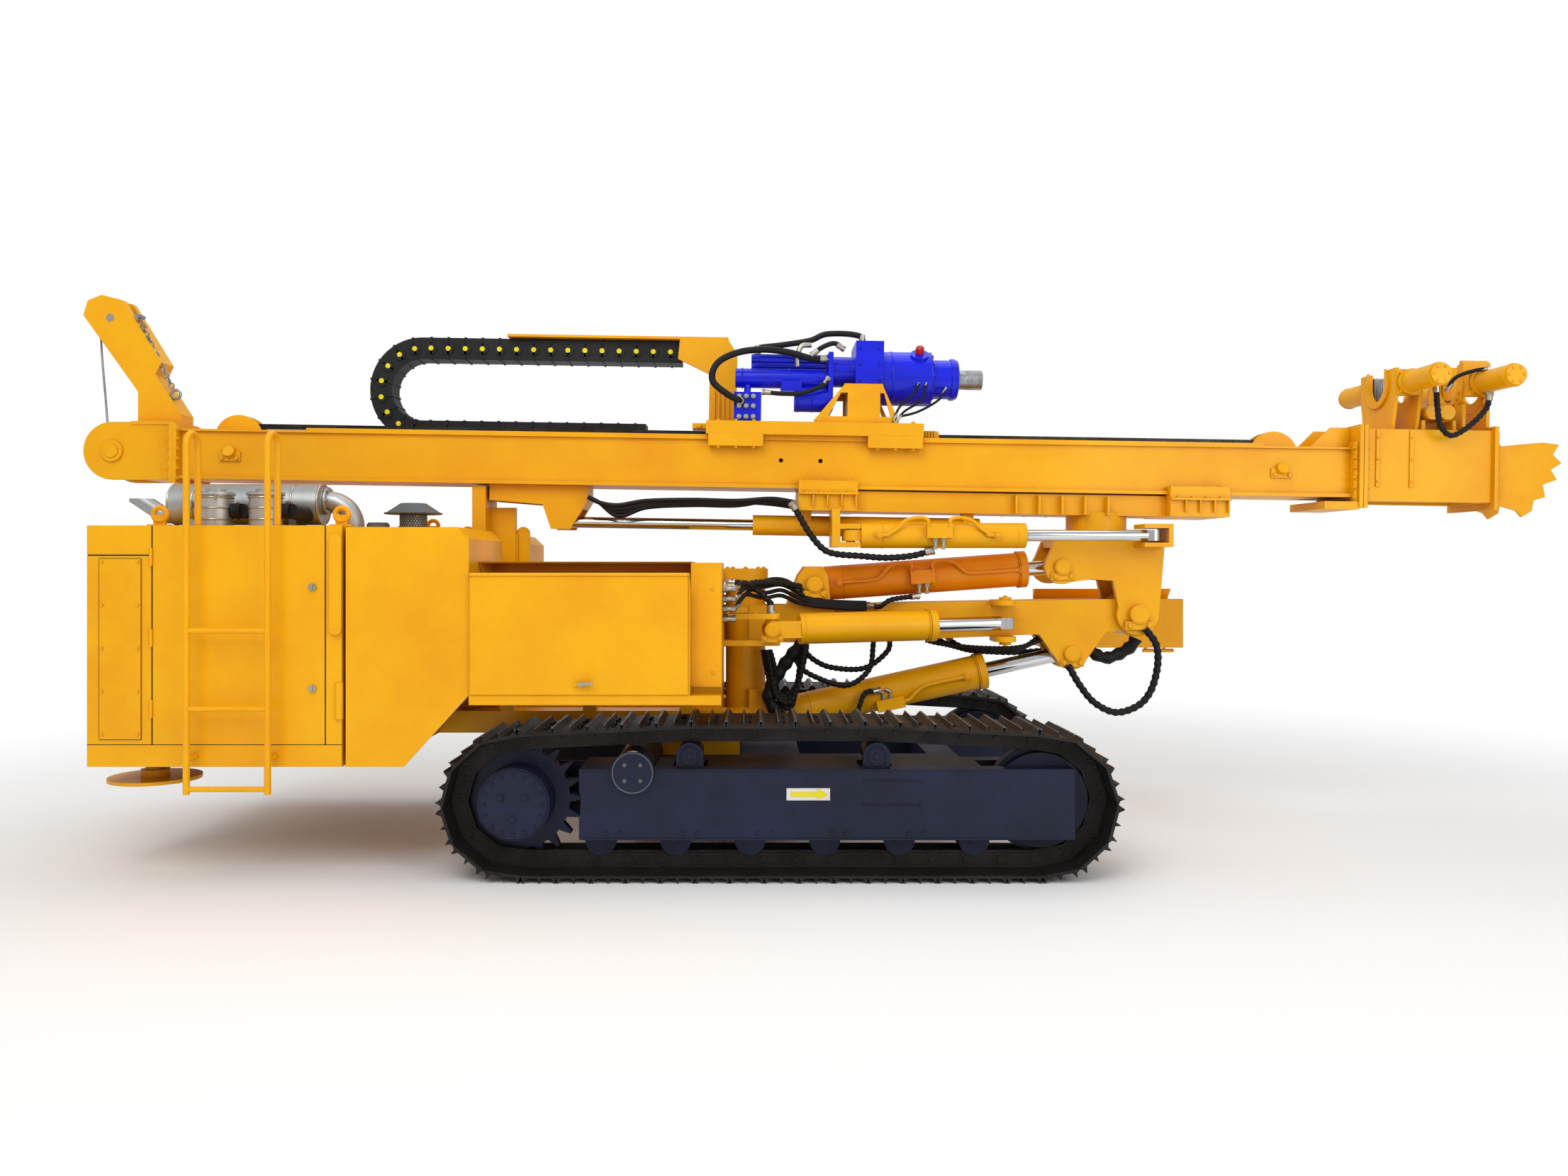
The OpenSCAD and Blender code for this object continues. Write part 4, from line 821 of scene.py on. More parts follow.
    @staticmethod
    def _control_box() -> None:
        """Latch, seams and hose bulkhead of the control box."""
        latch = Piece("box_latch", "fitting", "door")
        latch.bar((-1.197, -1.075, 0.976), (-1.197, -1.104, 0.976), 0.011, 20)
        latch.block((-1.178, -1.108, 0.979), (0.075, 0.009, 0.014), (0, math.radians(-4), 0))
        latch.done()
        seams = Piece("box_seams", "yellow", "chassis")
        seams.block((-0.592, -0.9565, 0.952), (0.150, 0.004, 0.006))
        for z in (1.02, 1.44):
            seams.bolt((-0.560, -0.955, z), (0, -1, 0), 0.007)
        seams.done()
        ports = Piece("box_ports", "fitting", "chassis")
        for row in range(4):
            for k in range(3):
                at = Vector((-0.514, -0.60 - 0.085 * k, 1.28 + 0.052 * row))
                ports.bar(at, at + Vector((0.022, 0, 0)), 0.019, 6)
                ports.bar(at, at + Vector((0.048, 0, 0)), 0.012, 16)
                ports.bar(at + Vector((0.046, 0, 0)), at + Vector((0.066, 0, 0)), 0.016, 6)
        ports.done()


def keeper(piece: Piece, x: float, z: float, y: float, side: int, boss: float = 0.046) -> None:
    """Adds a pin's end with the small bolted plate that keeps it.

    Args:
        piece: Piece that takes it.
        x: Place of the pin.
        z: Height of the pin.
        y: Face that it sits on.
        side: Direction away from the face, along Y.
        boss: Radius of the pin's end.
    """
    piece.bar((x, y - side * 0.004, z), (x, y + side * 0.022, z), boss, 32)
    piece.bar((x, y + side * 0.022, z), (x, y + side * 0.026, z), boss - 0.004, 32, boss - 0.009)
    piece.block((x, y + side * 0.006, z - boss - 0.008), (boss * 2.9, 0.012, boss * 0.85))
    for step in (-1, 1):
        piece.bolt((x + step * boss, y + side * 0.012, z - boss - 0.008), (0, side, 0), boss * 0.24)


@dataclass(frozen=True)
class CylinderLine:
    """Axis of a hydraulic cylinder, on which its block and pipes are placed."""

    base: tuple[float, float, float]
    eye: tuple[float, float, float]

    def at(self, along: float, out: float, up: float) -> Vector:
        """Returns a point by its distance along the axis, out to the near side and up.

        Args:
            along: Distance from the base pin.
            out: Distance from the axis towards the near side.
            up: Distance from the axis, square to it and upwards.
        """
        a, b = Vector(self.base), Vector(self.eye)
        forward = (b - a).normalized()
        side = Vector((0, -1, 0))
        side = (side - forward * side.dot(forward)).normalized()
        return a + forward * along + side * out + forward.cross(side) * -up

    def turn(self) -> tuple[float, float, float]:
        """Returns the turn that lays a block along the axis."""
        a, b = Vector(self.base), Vector(self.eye)
        return 0.0, -math.atan2(b.z - a.z, b.x - a.x), 0.0


@dataclass
class BoomDetails:
    """Valve blocks, pipes, pin keepers, weld seams and bolts of the boom group."""

    tilt: CylinderLine = CylinderLine((-0.007, 0.0, 1.449), (1.400, 0.0, 1.549))
    lift: CylinderLine = CylinderLine((-0.190, 0.0, 0.690), (1.467, 0.0, 1.052))
    swing: CylinderLine = CylinderLine((-0.254, -0.450, 1.209), (1.058, -0.250, 1.234))
    slew: CylinderLine = CylinderLine((0.187, -0.300, 1.724), (1.868, -0.300, 1.724))

    def build(self) -> None:
        """Builds the cylinders' lines and the keepers of every pin."""
        self._piped("tilt", self.tilt, "amber", "tilt_barrel", 0.098, 0.623, 0.145, 1.195, (-0.012, 0.075))
        self._piped("slew", self.slew, "yellow", "slew_barrel", 0.070, 0.480, 0.150, 0.800, (0.010, 0.085))
        self._lift_lines()
        self._collars()
        self._keepers()
        self._post()

    @staticmethod
    def _piped(
        name: str,
        line: CylinderLine,
        finish: str,
        body: str,
        radius: float,
        block: float,
        low: float,
        high: float,
        rise: tuple[float, float],
    ) -> None:
        """Valve block on the near side, with a bent pipe to the port at each end."""
        mass = Piece(f"{name}_valve_block", finish, body)
        mass.block(line.at(block, radius + 0.016, rise[0] + 0.012), (0.140, 0.052, 0.078), line.turn())
        for step in (-0.052, 0.052):
            for up in (-0.020, 0.044):
                mass.bolt(line.at(block + step, radius + 0.042, rise[0] + up), (0, -1, 0), 0.0065, False)
        mass.done()
        for end, near in ((low, -0.062), (high, 0.062)):
            sign = 1 if end > block else -1
            route = [
                line.at(block + near, radius + 0.012, rise[0] + 0.040),
                line.at(block + near, radius + 0.012, rise[1]),
                line.at(block + near + sign * 0.05, radius + 0.002, rise[1] + 0.012),
                line.at(block + near + sign * 0.12, radius + 0.004, rise[1] - 0.004),
                line.at(block + near + sign * 0.17, radius + 0.012, rise[1] - 0.050),
                line.at(block + near + sign * 0.22, radius + 0.012, 0.002),
                line.at(end - sign * 0.06, radius + 0.012, 0.0),
                line.at(end, radius + 0.012, 0.0),
            ]
            tube(f"{name}_pipe_{'front' if sign > 0 else 'rear'}", route, 0.0105, finish, body)
        ports = Piece(f"{name}_ports", finish, body)
        for end in (low, high):
            ports.bar(line.at(end, radius - 0.01, 0), line.at(end, radius + 0.022, 0), 0.021, 24)
            ports.bar(line.at(end, radius + 0.020, 0), line.at(end, radius + 0.030, 0), 0.013, 6)
        ports.done()
        nipples = Piece(f"{name}_fittings", "fitting", body)
        for step in (-0.022, 0.022):
            top = line.at(block + step, radius + 0.016, rise[0] - 0.026)
            nipples.bar(top, top - Vector((0, 0, 0.024)), 0.014, 6)
            nipples.bar(top, top - Vector((0, 0, 0.052)), 0.009, 16)
            nipples.bar(top - Vector((0, 0, 0.044)), top - Vector((0, 0, 0.062)), 0.013, 6)
        nipples.done()

    def _lift_lines(self) -> None:
        """Block, pipe and port of the lift cylinder, low on its near side."""
        line = self.lift
        mass = Piece("lift_valve_block", "yellow", "lift_barrel")
        mass.block(line.at(0.625, 0.098, -0.062), (0.160, 0.056, 0.066), line.turn())
        mass.bar(line.at(1.082, 0.088, 0.0), line.at(1.082, 0.122, 0.0), 0.021, 24)
        mass.bar(line.at(1.082, 0.120, 0.0), line.at(1.082, 0.130, 0.0), 0.013, 6)
        mass.done()
        route = [
            line.at(0.690, 0.106, -0.062),
            line.at(0.735, 0.110, -0.058),
            line.at(0.780, 0.112, -0.025),
            line.at(0.860, 0.112, 0.0),
            line.at(1.082, 0.112, 0.0),
        ]
        tube("lift_pipe", route, 0.0105, "yellow", "lift_barrel")
        nipples = Piece("lift_fittings", "fitting", "lift_barrel")
        for step in (0.0, 0.042):
            low = line.at(0.585 + step, 0.100, -0.034)
            nipples.bar(low, low + Vector((0, 0, 0.026)), 0.014, 6)
            nipples.bar(low, low + Vector((0, 0, 0.050)), 0.009, 16)
            nipples.bar(low + Vector((0, 0, 0.042)), low + Vector((-0.028, 0, 0.056)), 0.012, 16)
        nipples.done()

    def _collars(self) -> None:
        """Gland rings, weld beads and rod wipers of the cylinders."""
        spans = (
            ("tilt", self.tilt, "amber", "tilt_barrel", 0.106, 0.098, 1.235),
            ("lift", self.lift, "yellow", "lift_barrel", 0.106, 0.098, 1.206),
            ("swing", self.swing, "yellow", "swing_barrel", 0.090, 0.084, 0.918),
            ("slew", self.slew, "yellow", "slew_barrel", 0.070, 0.070, 0.969),
        )
        for name, line, finish, body, gland, radius, end in spans:
            axis = Vector(line.eye) - Vector(line.base)
            rings = Piece(f"{name}_seams", finish, body)
            rings.ring(line.at(0.175, 0, 0), axis, radius - 0.001, 0.004, 48)
            rings.ring(line.at(end - 0.046, 0, 0), axis, gland - 0.002, 0.004, 48)
            rings.ring(line.at(end - 0.003, 0, 0), axis, gland - 0.006, 0.006, 48)
            rings.done()
            wiper = Piece(f"{name}_wiper", "plastic", body)
            wiper.ring(line.at(end + 0.002, 0, 0), axis, 0.047, 0.006, 36)
            wiper.done()

    @staticmethod
    def _keepers() -> None:
        """Pin ends with their keeper plates, on both sides."""
        for side, name in ((-1, "near"), (1, "far")):
            knuckle = Piece(f"knuckle_keepers_{name}", "yellow", "knuckle")
            keeper(knuckle, -0.007, 1.449, side * 0.175, side)
            keeper(knuckle, 0.060, 1.235, side * 0.175, side)
            keeper(knuckle, -0.190, 0.690, side * 0.175, side, 0.040)
            knuckle.done()
            bracket = Piece(f"bracket_keepers_{name}", "yellow", "bracket")
            keeper(bracket, 1.400, 1.549, side * 0.170, side)
            keeper(bracket, 1.830, 1.280, side * 0.185, side, 0.055)
            bracket.done()
            boom = Piece(f"boom_keepers_{name}", "yellow", "boom")
            keeper(boom, 1.467, 1.052, side * 0.120, side)
            boom.done()
        eyes = Piece("swing_eye_pin", "yellow", "boom")
        for z, out in ((1.364, 1), (1.129, -1)):
            eyes.bar((1.058, -0.250, z), (1.058, -0.250, z + out * 0.016), 0.034, 28)
            eyes.bolt((1.058, -0.250, z + out * 0.016), (0, 0, out), 0.010)
        eyes.done()

    @staticmethod
    def _post() -> None:
        """Bolts of the swing post's bearing plates and of the cross piece."""
        post = Piece("post_bolts", "yellow", "chassis")
        for z, out in ((1.540, 1),):
            for k in range(8):
                angle = 2 * math.pi * k / 8
                at = (-0.400 + 0.105 * math.cos(angle), 0.105 * math.sin(angle), z)
                post.bolt(at, (0, 0, out), 0.011)
        for x in (-0.50, -0.35):
            post.bolt((x, -0.475, 1.296), (0, 0, 1), 0.012)
        post.block((-0.44, -0.45, 1.316), (0.11, 0.05, 0.030))
        post.done()
        cross = Piece("cross_bolts", "yellow", "swing_cross")
        keeper(cross, -0.254, 1.209, -0.525, -1, 0.040)
        cross.done()


@dataclass
class MastDetails:
    """Bolts, chain, guards and keepers of the mast, its tail and its cradle."""

    chain_pitch: float = 0.032
    chain_from: float = -3.33
    chain_to: float = 2.64

    def build(self) -> None:
        """Builds the pieces along the mast from rear to front."""
        self._chain()
        self._keepers()
        self._cradle_bolts()
        self._flanges()
        self._rope()
        self._hose_chain()

    def _chain(self) -> None:
        """Rollers and side plates of the feed chain on the mast's top."""
        chain = Piece("feed_chain_links", "grease", "mast")
        w = MAST_H + 0.036
        count = int((self.chain_to - self.chain_from) / self.chain_pitch)
        for k in range(count):
            u = self.chain_from + self.chain_pitch * k
            chain.bar(on_mast(u, -0.029, w), on_mast(u, 0.029, w), 0.0075, 10)
            offset = 0.0235 if k % 2 else 0.0265
            for side in (-1, 1):
                chain.mast_block(
                    (u - 0.004, side * offset - 0.0016, w - 0.0125),
                    (u + self.chain_pitch + 0.004, side * offset + 0.0016, w + 0.0125),
                )
        chain.done()
        spring = Piece("chain_spring", "yellow", "carriage")
        for k in range(6):
            u = HEAD_U + 1.238 + 0.016 * k
            spring.ring(on_mast(u, 0, w), on_mast(u + 1, 0, w) - on_mast(u, 0, w), 0.033, 0.007, 24)
        spring.bar(on_mast(HEAD_U + 1.228, 0, w), on_mast(HEAD_U + 1.234, 0, w), 0.042, 28)
        spring.bar(on_mast(HEAD_U + 1.324, 0, w), on_mast(HEAD_U + 1.345, 0, w), 0.036, 6)
        spring.done()

    @staticmethod
    def _keepers() -> None:
        """Axle plates of the chain sprockets and the mast's stiffening strips."""
        plates = Piece("sprocket_keepers", "yellow", "mast")
        for u in (-3.336, 2.650):
            for side in (-1, 1):
                at = on_mast(u, side * 0.150, 0.150)
                plates.mast_block(
                    (u - 0.060, side * 0.156 - 0.006, 0.105), (u + 0.060, side * 0.156 + 0.006, 0.160)
                )
                plates.bar(at, at + Vector((0, side * 0.032, 0.012)), 0.032, 28)
                for step in (-0.042, 0.042):
                    plates.bolt(on_mast(u + step, side * 0.162, 0.122), (0, side, 0), 0.010)
        plates.done()

    @staticmethod
    def _cradle_bolts() -> None:
        """Bolts and little ribs of the keeper blocks round the mast's lower flange."""
        for side, name in ((-1, "near"), (1, "far")):
            bolts = Piece(f"cradle_bolts_{name}", "yellow", "cradle")
            for start in (-0.100, 1.996):
                for k in range(4):
                    u = start + 0.045 + 0.080 * k
                    bolts.bolt(on_mast(u, side * 0.205, 0.045), (0, 0, 1), 0.011)
                    bolts.bolt(on_mast(u, side * 0.238, -0.022), (0, 0, 1), 0.011)
                    bolts.mast_block(
                        (u + 0.034, side * 0.236 - 0.012, -0.100), (u + 0.042, side * 0.236 + 0.012, -0.024)
                    )
                bolts.mast_block((start, side * 0.238 - 0.014, -0.034), (start + 0.335, side * 0.238 + 0.014, -0.022))
            bolts.done()

    @staticmethod
    def _flanges() -> None:
        """Bolts of the mast's end flanges and of the clamp box's strips."""
        bolts = Piece("flange_bolts", "yellow", "mast")
        for side in (-1, 1):
            for k in range(6):
                w = 0.0 + 0.056 * k
                for u, out in ((3.040, -1), (3.107, 1), (-3.664, -1), (-3.620, 1), (3.842, 1)):
                    across = 0.212 if u > 3 else 0.194
                    seat = on_mast(u, side * across, w)
                    bolts.bolt(seat, on_mast(u + out, side * across, w) - seat, 0.011)
            for u in (3.170, 3.360):
                for w in (0.090, 0.215, 0.340):
                    bolts.bolt(on_mast(u, side * 0.210, w), (0, side, 0), 0.007, False)
        bolts.done()

    @staticmethod
    def _rope() -> None:
        """Winch rope, lifting hook and the short chain along the arm."""
        turns = Piece("winch_rope", "worn", "mast")
        for k in range(14):
            turns.ring((-4.010, -0.091 + 0.014 * k, 2.212), (0, 1, 0), 0.096, 0.006, 36)
        turns.done()
        route = [(-4.104, 0.0, 2.24), (-4.125, 0.0, 2.50), (-4.150, 0.0, 2.80), (-4.156, 0.0, 2.96)]
        tube("hoist_rope", route, 0.006, "worn", "mast")
        chain = Piece("arm_chain", "worn", "mast")
        for k in range(14):
            x, z = -3.905 + 0.0145 * k, 2.985 - 0.030 * k
            axis = (0, 1, 0) if k % 2 else (0.9, 0, 0.4)
            chain.ring((x, -0.055, z), axis, 0.015, 0.0045, 16)
        chain.ring((-3.690, -0.055, 2.545), (0, 1, 0), 0.026, 0.008, 24)
        chain.bar((-3.905, -0.075, 3.000), (-3.905, 0.0, 3.000), 0.012, 12)
        chain.done()

    @staticmethod
    def _hose_chain() -> None:
        """Link edges and yellow rivets on the near face of the hose chain."""
        ribs = Piece("hose_chain_links", "plastic", "hose_chain")
        dots = Piece("hose_chain_rivets", "lemon", "hose_chain")
        u0, w0, reach, pitch = -2.359, 0.587, 0.250, 0.103

        def mark(u: float, w: float, angle: float) -> None:
            """Adds the joint of one link: a groove lip, a boss and its rivet."""
            for face, out in ((0.240, -1), (0.400, 1)):
                seat = on_mast(u, face, w)
                ribs.bar(seat, seat + Vector((0, out * 0.006, 0)), 0.036, 20)
                dots.bar(seat + Vector((0, out * 0.005, 0)), seat + Vector((0, out * 0.010, 0)), 0.015, 16)
            ribs.block(on_mast(u, 0.320, w), (0.012, 0.172, 0.138), (0, MAST_SLOPE - angle, 0))

        for k in range(15):
            mark(u0 + 0.05 + pitch * k, w0 + reach, 0.0)
        for k in range(13):
            mark(u0 + 0.05 + pitch * k, w0 - reach, 0.0)
        for k in range(8):
            angle = math.pi / 2 + math.pi * (k + 0.5) / 8
            mark(u0 + reach * math.cos(angle), w0 + reach * math.sin(angle), angle - math.pi / 2)
        ribs.done()
        dots.done()


@dataclass(frozen=True)
class HoseRun:
    """One hose: its route, outer radius, surface and CAD body.

    Args:
        name: Name of the hose.
        radius: Outer radius.
        route: Points that its middle passes.
        body: Body that it rides on.
        shape: Outer shape.
        ends: Whether a fitting sits on its first and last point.
    """

    name: str
    radius: float
    route: tuple[Point, ...]
    body: str
    shape: Corrugation = Corrugation.WRAPPED
    ends: tuple[bool, bool] = (True, True)

    def build(self) -> list[bpy.types.Object]:
        """Builds the hose with its fittings.

        Returns:
            The hose and its fittings.
        """
        made = [tube(self.name, self.route, self.radius, "rubber", self.body, self.shape)]
        for wanted, first, second, label in (
            (self.ends[0], self.route[0], self.route[1], "a"),
            (self.ends[1], self.route[-1], self.route[-2], "b"),
        ):
            if not wanted:
                continue
            a = Vector(first)
            inward = (Vector(second) - a).normalized()
            fitting = Piece(f"{self.name}_end_{label}", "fitting", self.body)
            fitting.bar(a - inward * 0.004, a + inward * 0.045, self.radius * 1.12, 20)
            fitting.bar(a - inward * 0.006, a + inward * 0.012, self.radius * 1.28, 6)
            made.append(fitting.done())
        return made


@dataclass
class Hoses:
    """Every hose of the rig. The ones that the CAD frame has stand in for its nodes."""

    stand_ins: dict[str, tuple[HoseRun, ...]] = field(
        default_factory=lambda: {
            "boom_hoses": (
                HoseRun(
                    "front_loop",
                    0.022,
                    (
                        (1.862, -0.194, 1.200), (1.925, -0.193, 1.110), (1.935, -0.188, 0.990),
                        (1.900, -0.182, 0.850), (1.826, -0.180, 0.762), (1.700, -0.178, 0.724),
                        (1.580, -0.175, 0.780), (1.500, -0.160, 0.880), (1.440, -0.143, 0.990),
                    ),
                    "boom",
                    ends=(False, False),
                ),
                HoseRun(
                    "under_duct",
                    0.040,
                    (
                        (1.872, 0.0, 1.132), (1.848, 0.0, 1.090), (1.780, 0.0, 1.045), (1.690, 0.0, 1.020),
                        (1.610, 0.0, 1.065), (1.600, 0.0, 1.120), (1.600, 0.0, 1.170),
                    ),
                    "boom",
                    ends=(False, False),
                ),
                HoseRun(
                    "under_line",
                    0.020,
                    (
                        (0.790, 0.141, 1.150), (0.840, 0.142, 1.095), (0.950, 0.142, 1.058),
                        (1.178, 0.142, 1.042), (1.392, 0.140, 1.060), (1.480, 0.141, 1.130),
                    ),
                    "boom",
                ),
            ),
            "base_hoses": (
                HoseRun(
                    "knuckle_line",
                    0.019,
                    (
                        (-0.500, -0.590, 1.440), (-0.450, -0.590, 1.440), (-0.330, -0.500, 1.465),
                        (-0.180, -0.320, 1.455), (-0.100, -0.230, 1.440), (-0.100, -0.162, 1.440),
                    ),
                    "chassis",
                ),
                HoseRun(
                    "swing_line",
                    0.019,
                    (
                        (-0.500, -0.540, 1.465), (-0.440, -0.540, 1.465), (-0.330, -0.510, 1.420),
                        (-0.262, -0.470, 1.350), (-0.262, -0.470, 1.298),
                    ),
                    "chassis",
                ),
                HoseRun(
                    "base_duct",
                    0.042,
                    (
                        (-0.200, -0.2173, 0.700), (-0.268, -0.217, 0.815), (-0.226, -0.215, 0.929),
                        (-0.130, -0.208, 1.060), (-0.060, -0.2023, 1.140),
                    ),
                    "chassis",
                    ends=(False, False),
                ),
            ),
            "cradle_hose": (
                HoseRun(
                    "cradle_line",
                    0.020,
                    (
                        (-0.137, -0.250, 1.907), (-0.095, -0.262, 1.830), (-0.040, -0.285, 1.735),
                        (0.030, -0.312, 1.652), (0.100, -0.322, 1.622), (0.240, -0.332, 1.610),
                        (0.384, -0.336, 1.600), (0.528, -0.338, 1.612), (0.640, -0.338, 1.642),
                    ),
                    "cradle",
                ),
            ),
            "head_hoses": (
                HoseRun(
                    "head_loop",
                    0.019,
                    (
                        (-0.430, -0.192, 2.485), (-0.430, -0.228, 2.485), (-0.500, -0.240, 2.520),
                        (-0.585, -0.225, 2.600), (-0.560, -0.200, 2.700), (-0.450, -0.170, 2.765),
                        (-0.300, -0.140, 2.790), (-0.150, -0.128, 2.775), (-0.020, -0.125, 2.740),
                        (0.073, -0.125, 2.740),
                    ),
                    "carriage",
                    Corrugation.PLAIN,
                ),
                HoseRun(
                    "head_top",
                    0.017,
                    (
                        (-0.330, -0.060, 2.780), (-0.330, -0.060, 2.812), (-0.192, -0.070, 2.828),
                        (-0.030, -0.080, 2.852), (0.060, -0.080, 2.888), (0.190, -0.080, 2.890),
                        (0.270, -0.080, 2.872), (0.270, -0.080, 2.838),
                    ),
                    "carriage",
                    Corrugation.PLAIN,
                ),
            ),
            "clamp_hoses": (
                HoseRun(
                    "clamp_line",
                    0.017,
                    (
                        (3.470, -0.262, 2.570), (3.474, -0.268, 2.440), (3.489, -0.272, 2.340),
                        (3.547, -0.274, 2.284), (3.640, -0.272, 2.330), (3.735, -0.268, 2.420),
                        (3.765, -0.262, 2.480), (3.765, -0.262, 2.526),
                    ),
                    "mast",
                ),
            ),
        }
    )

    def build(self) -> None:
        """Builds the stand-ins and the hoses that only the looks have."""
        for node, runs in self.stand_ins.items():
            for run in runs:
                for piece in run.build():
                    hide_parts(node)
        for run in self._boom_runs() + self._head_runs():
            run.build()
        self._mast_bundle()

    @staticmethod
    def _boom_runs() -> list[HoseRun]:
        """Loops between the post, the knuckle and the boom."""
        plain = Corrugation.PLAIN
        runs = [
            HoseRun(
                "swing_loop_a",
                0.017,
                (
                    (-0.127, -0.20, 1.070), (-0.100, -0.23, 1.000), (-0.021, -0.24, 0.938),
                    (0.165, -0.23, 0.882), (0.297, -0.20, 0.965), (0.324, -0.18, 1.100),
                    (0.330, -0.128, 1.150),
                ),
                "knuckle",
                ends=(False, False),
            ),
            HoseRun(
                "swing_loop_b",
                0.017,
                (
                    (-0.074, -0.19, 1.090), (-0.020, -0.21, 1.030), (0.085, -0.22, 0.983),
                    (0.271, -0.21, 0.978), (0.403, -0.19, 1.071), (0.425, -0.128, 1.145),
                ),
                "knuckle",
                ends=(False, False),
            ),
            HoseRun(
                "tilt_feed",
                0.016,
                ((0.300, -0.128, 1.330), (0.364, -0.165, 1.323), (0.430, -0.165, 1.363), (0.590, -0.115, 1.384)),
                "knuckle",
            ),
            HoseRun(
                "lift_feed",
                0.016,
                ((0.230, -0.130, 0.690), (0.244, -0.150, 0.740), (0.285, -0.140, 0.830), (0.368, -0.112, 0.842)),
                "lift_barrel",
            ),
        ]
        for k in range(4):
            drop = 0.030 * k
            runs.append(
                HoseRun(
                    f"port_line_{k}",
                    0.0115,
                    (
                        (-0.450, -0.600 - 0.085 * (k % 3), 1.332 + 0.052 * (k % 3)),
                        (-0.400, -0.560 - 0.05 * (k % 3), 1.400 + 0.035 * (k % 3)),
                        (-0.300, -0.420, 1.470 - drop),
                        (-0.200, -0.280 - 0.012 * k, 1.480 - drop),
                        (-0.110, -0.180 - 0.012 * k, 1.440 - drop),
                        (0.000, -0.176 - 0.010 * k, 1.365 - 0.4 * drop),
                        (0.160, -0.150 - 0.006 * k, 1.350 - 0.4 * drop),
                        (0.290, -0.134, 1.345 - 0.4 * drop),
                    ),
                    "chassis",
                    plain,
                    (True, False),
                )
            )
        for k in range(5):
            y = -0.185 - 0.034 * (k % 3)
            deep = 0.035 * k
            runs.append(
                HoseRun(
                    f"bundle_{k}",
                    0.016,
                    (
                        (-0.300 + 0.01 * k, y, 1.080),
                        (-0.285 + 0.012 * k, y, 0.990),
                        (-0.250 + 0.010 * k, y, 0.870 - deep / 2),
                        (-0.175 + 0.006 * k, y - 0.005, 0.820 - deep / 2),
                        (-0.105 - 0.004 * k, y, 0.890 - deep / 2),
                        (-0.070 - 0.006 * k, y, 1.000),
                        (-0.050 - 0.010 * k, y, 1.110),
                    ),
                    "knuckle",
                    ends=(False, False),
                )
            )
        for k in range(4):
            runs.append(
                HoseRun(
                    f"boom_line_{k}",
                    0.015,
                    (
                        (0.640 + 0.03 * k, -0.06 + 0.04 * k, 1.125),
                        (0.740 + 0.03 * k, -0.06 + 0.04 * k, 1.104 - 0.008 * k),
                        (0.960, -0.06 + 0.04 * k, 1.082 - 0.010 * k),
                        (1.180, -0.06 + 0.04 * k, 1.086 - 0.010 * k),
                        (1.330, -0.06 + 0.04 * k, 1.140),
                    ),
                    "boom",
                    ends=(False, False),
                )
            )
        return runs

    @staticmethod
    def _head_runs() -> list[HoseRun]:
        """Thin hoses of the rotary head and of the clamps."""
        plain = Corrugation.PLAIN
        return [
            HoseRun(
                "head_short",
                0.014,
                ((-0.022, -0.150, 2.757), (0.040, -0.160, 2.800), (0.109, -0.150, 2.823), (0.161, -0.150, 2.790)),
                "carriage",
                plain,
            ),
            HoseRun(
                "head_low",
                0.013,
                (
                    (-0.300, -0.180, 2.541), (-0.180, -0.190, 2.530), (-0.075, -0.190, 2.535),
                    (0.043, -0.180, 2.581), (0.070, -0.16, 2.62),
                ),
                "carriage",
                plain,
            ),
            HoseRun(
                "drain_a",
                0.007,
                ((0.599, -0.135, 2.613), (0.560, -0.175, 2.540), (0.475, -0.185, 2.456), (0.440, -0.185, 2.380)),
                "carriage",
                plain,
            ),
            HoseRun(
                "drain_b",
                0.007,
                ((0.640, -0.135, 2.620), (0.600, -0.180, 2.500), (0.501, -0.190, 2.430), (0.455, -0.190, 2.375)),
                "carriage",
                plain,
            ),
            HoseRun(
                "drain_c",
                0.007,
                ((0.750, -0.100, 2.574), (0.700, -0.150, 2.500), (0.580, -0.180, 2.430), (0.470, -0.185, 2.400)),
                "carriage",
                plain,
                (True, False),
            ),
            HoseRun(
                "jaw_line",
                0.011,
                ((3.571, -0.190, 2.550), (3.600, -0.230, 2.616), (3.690, -0.260, 2.650), (3.765, -0.262, 2.660)),
                "mast",
                plain,
            ),
            HoseRun(
                "clamp_far_line",
                0.015,
                (
                    (3.390, 0.300, 2.560), (3.420, 0.320, 2.440), (3.500, 0.325, 2.330),
                    (3.640, 0.320, 2.340), (3.765, 0.300, 2.526),
                ),
                "mast",
            ),
        ]

    @staticmethod
    def _mast_bundle() -> None:
        """Hoses under the mast, from its lug to the cradle, left on no body."""
        for k in range(5):
            y = -0.20 + 0.03 * k
            sag = 0.045 + 0.012 * ((k * 3) % 4)
            route = (
                (-1.290, y, 1.945),
                (-1.230, y, 1.915),
                (-1.120, y, 1.975 - sag * 1.7),
                (-0.960, y, 1.968 - sag),
                (-0.700, y, 1.965 - sag * 0.8),
                (-0.450, y, 1.955 - sag * 0.7),
                (-0.250, y, 1.935 - 0.006 * k),
                (-0.115, y, 1.915 - 0.006 * k),
            )
            line = tube(f"mast_line_{k}", route, 0.0125, "rubber", "")
            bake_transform(line)


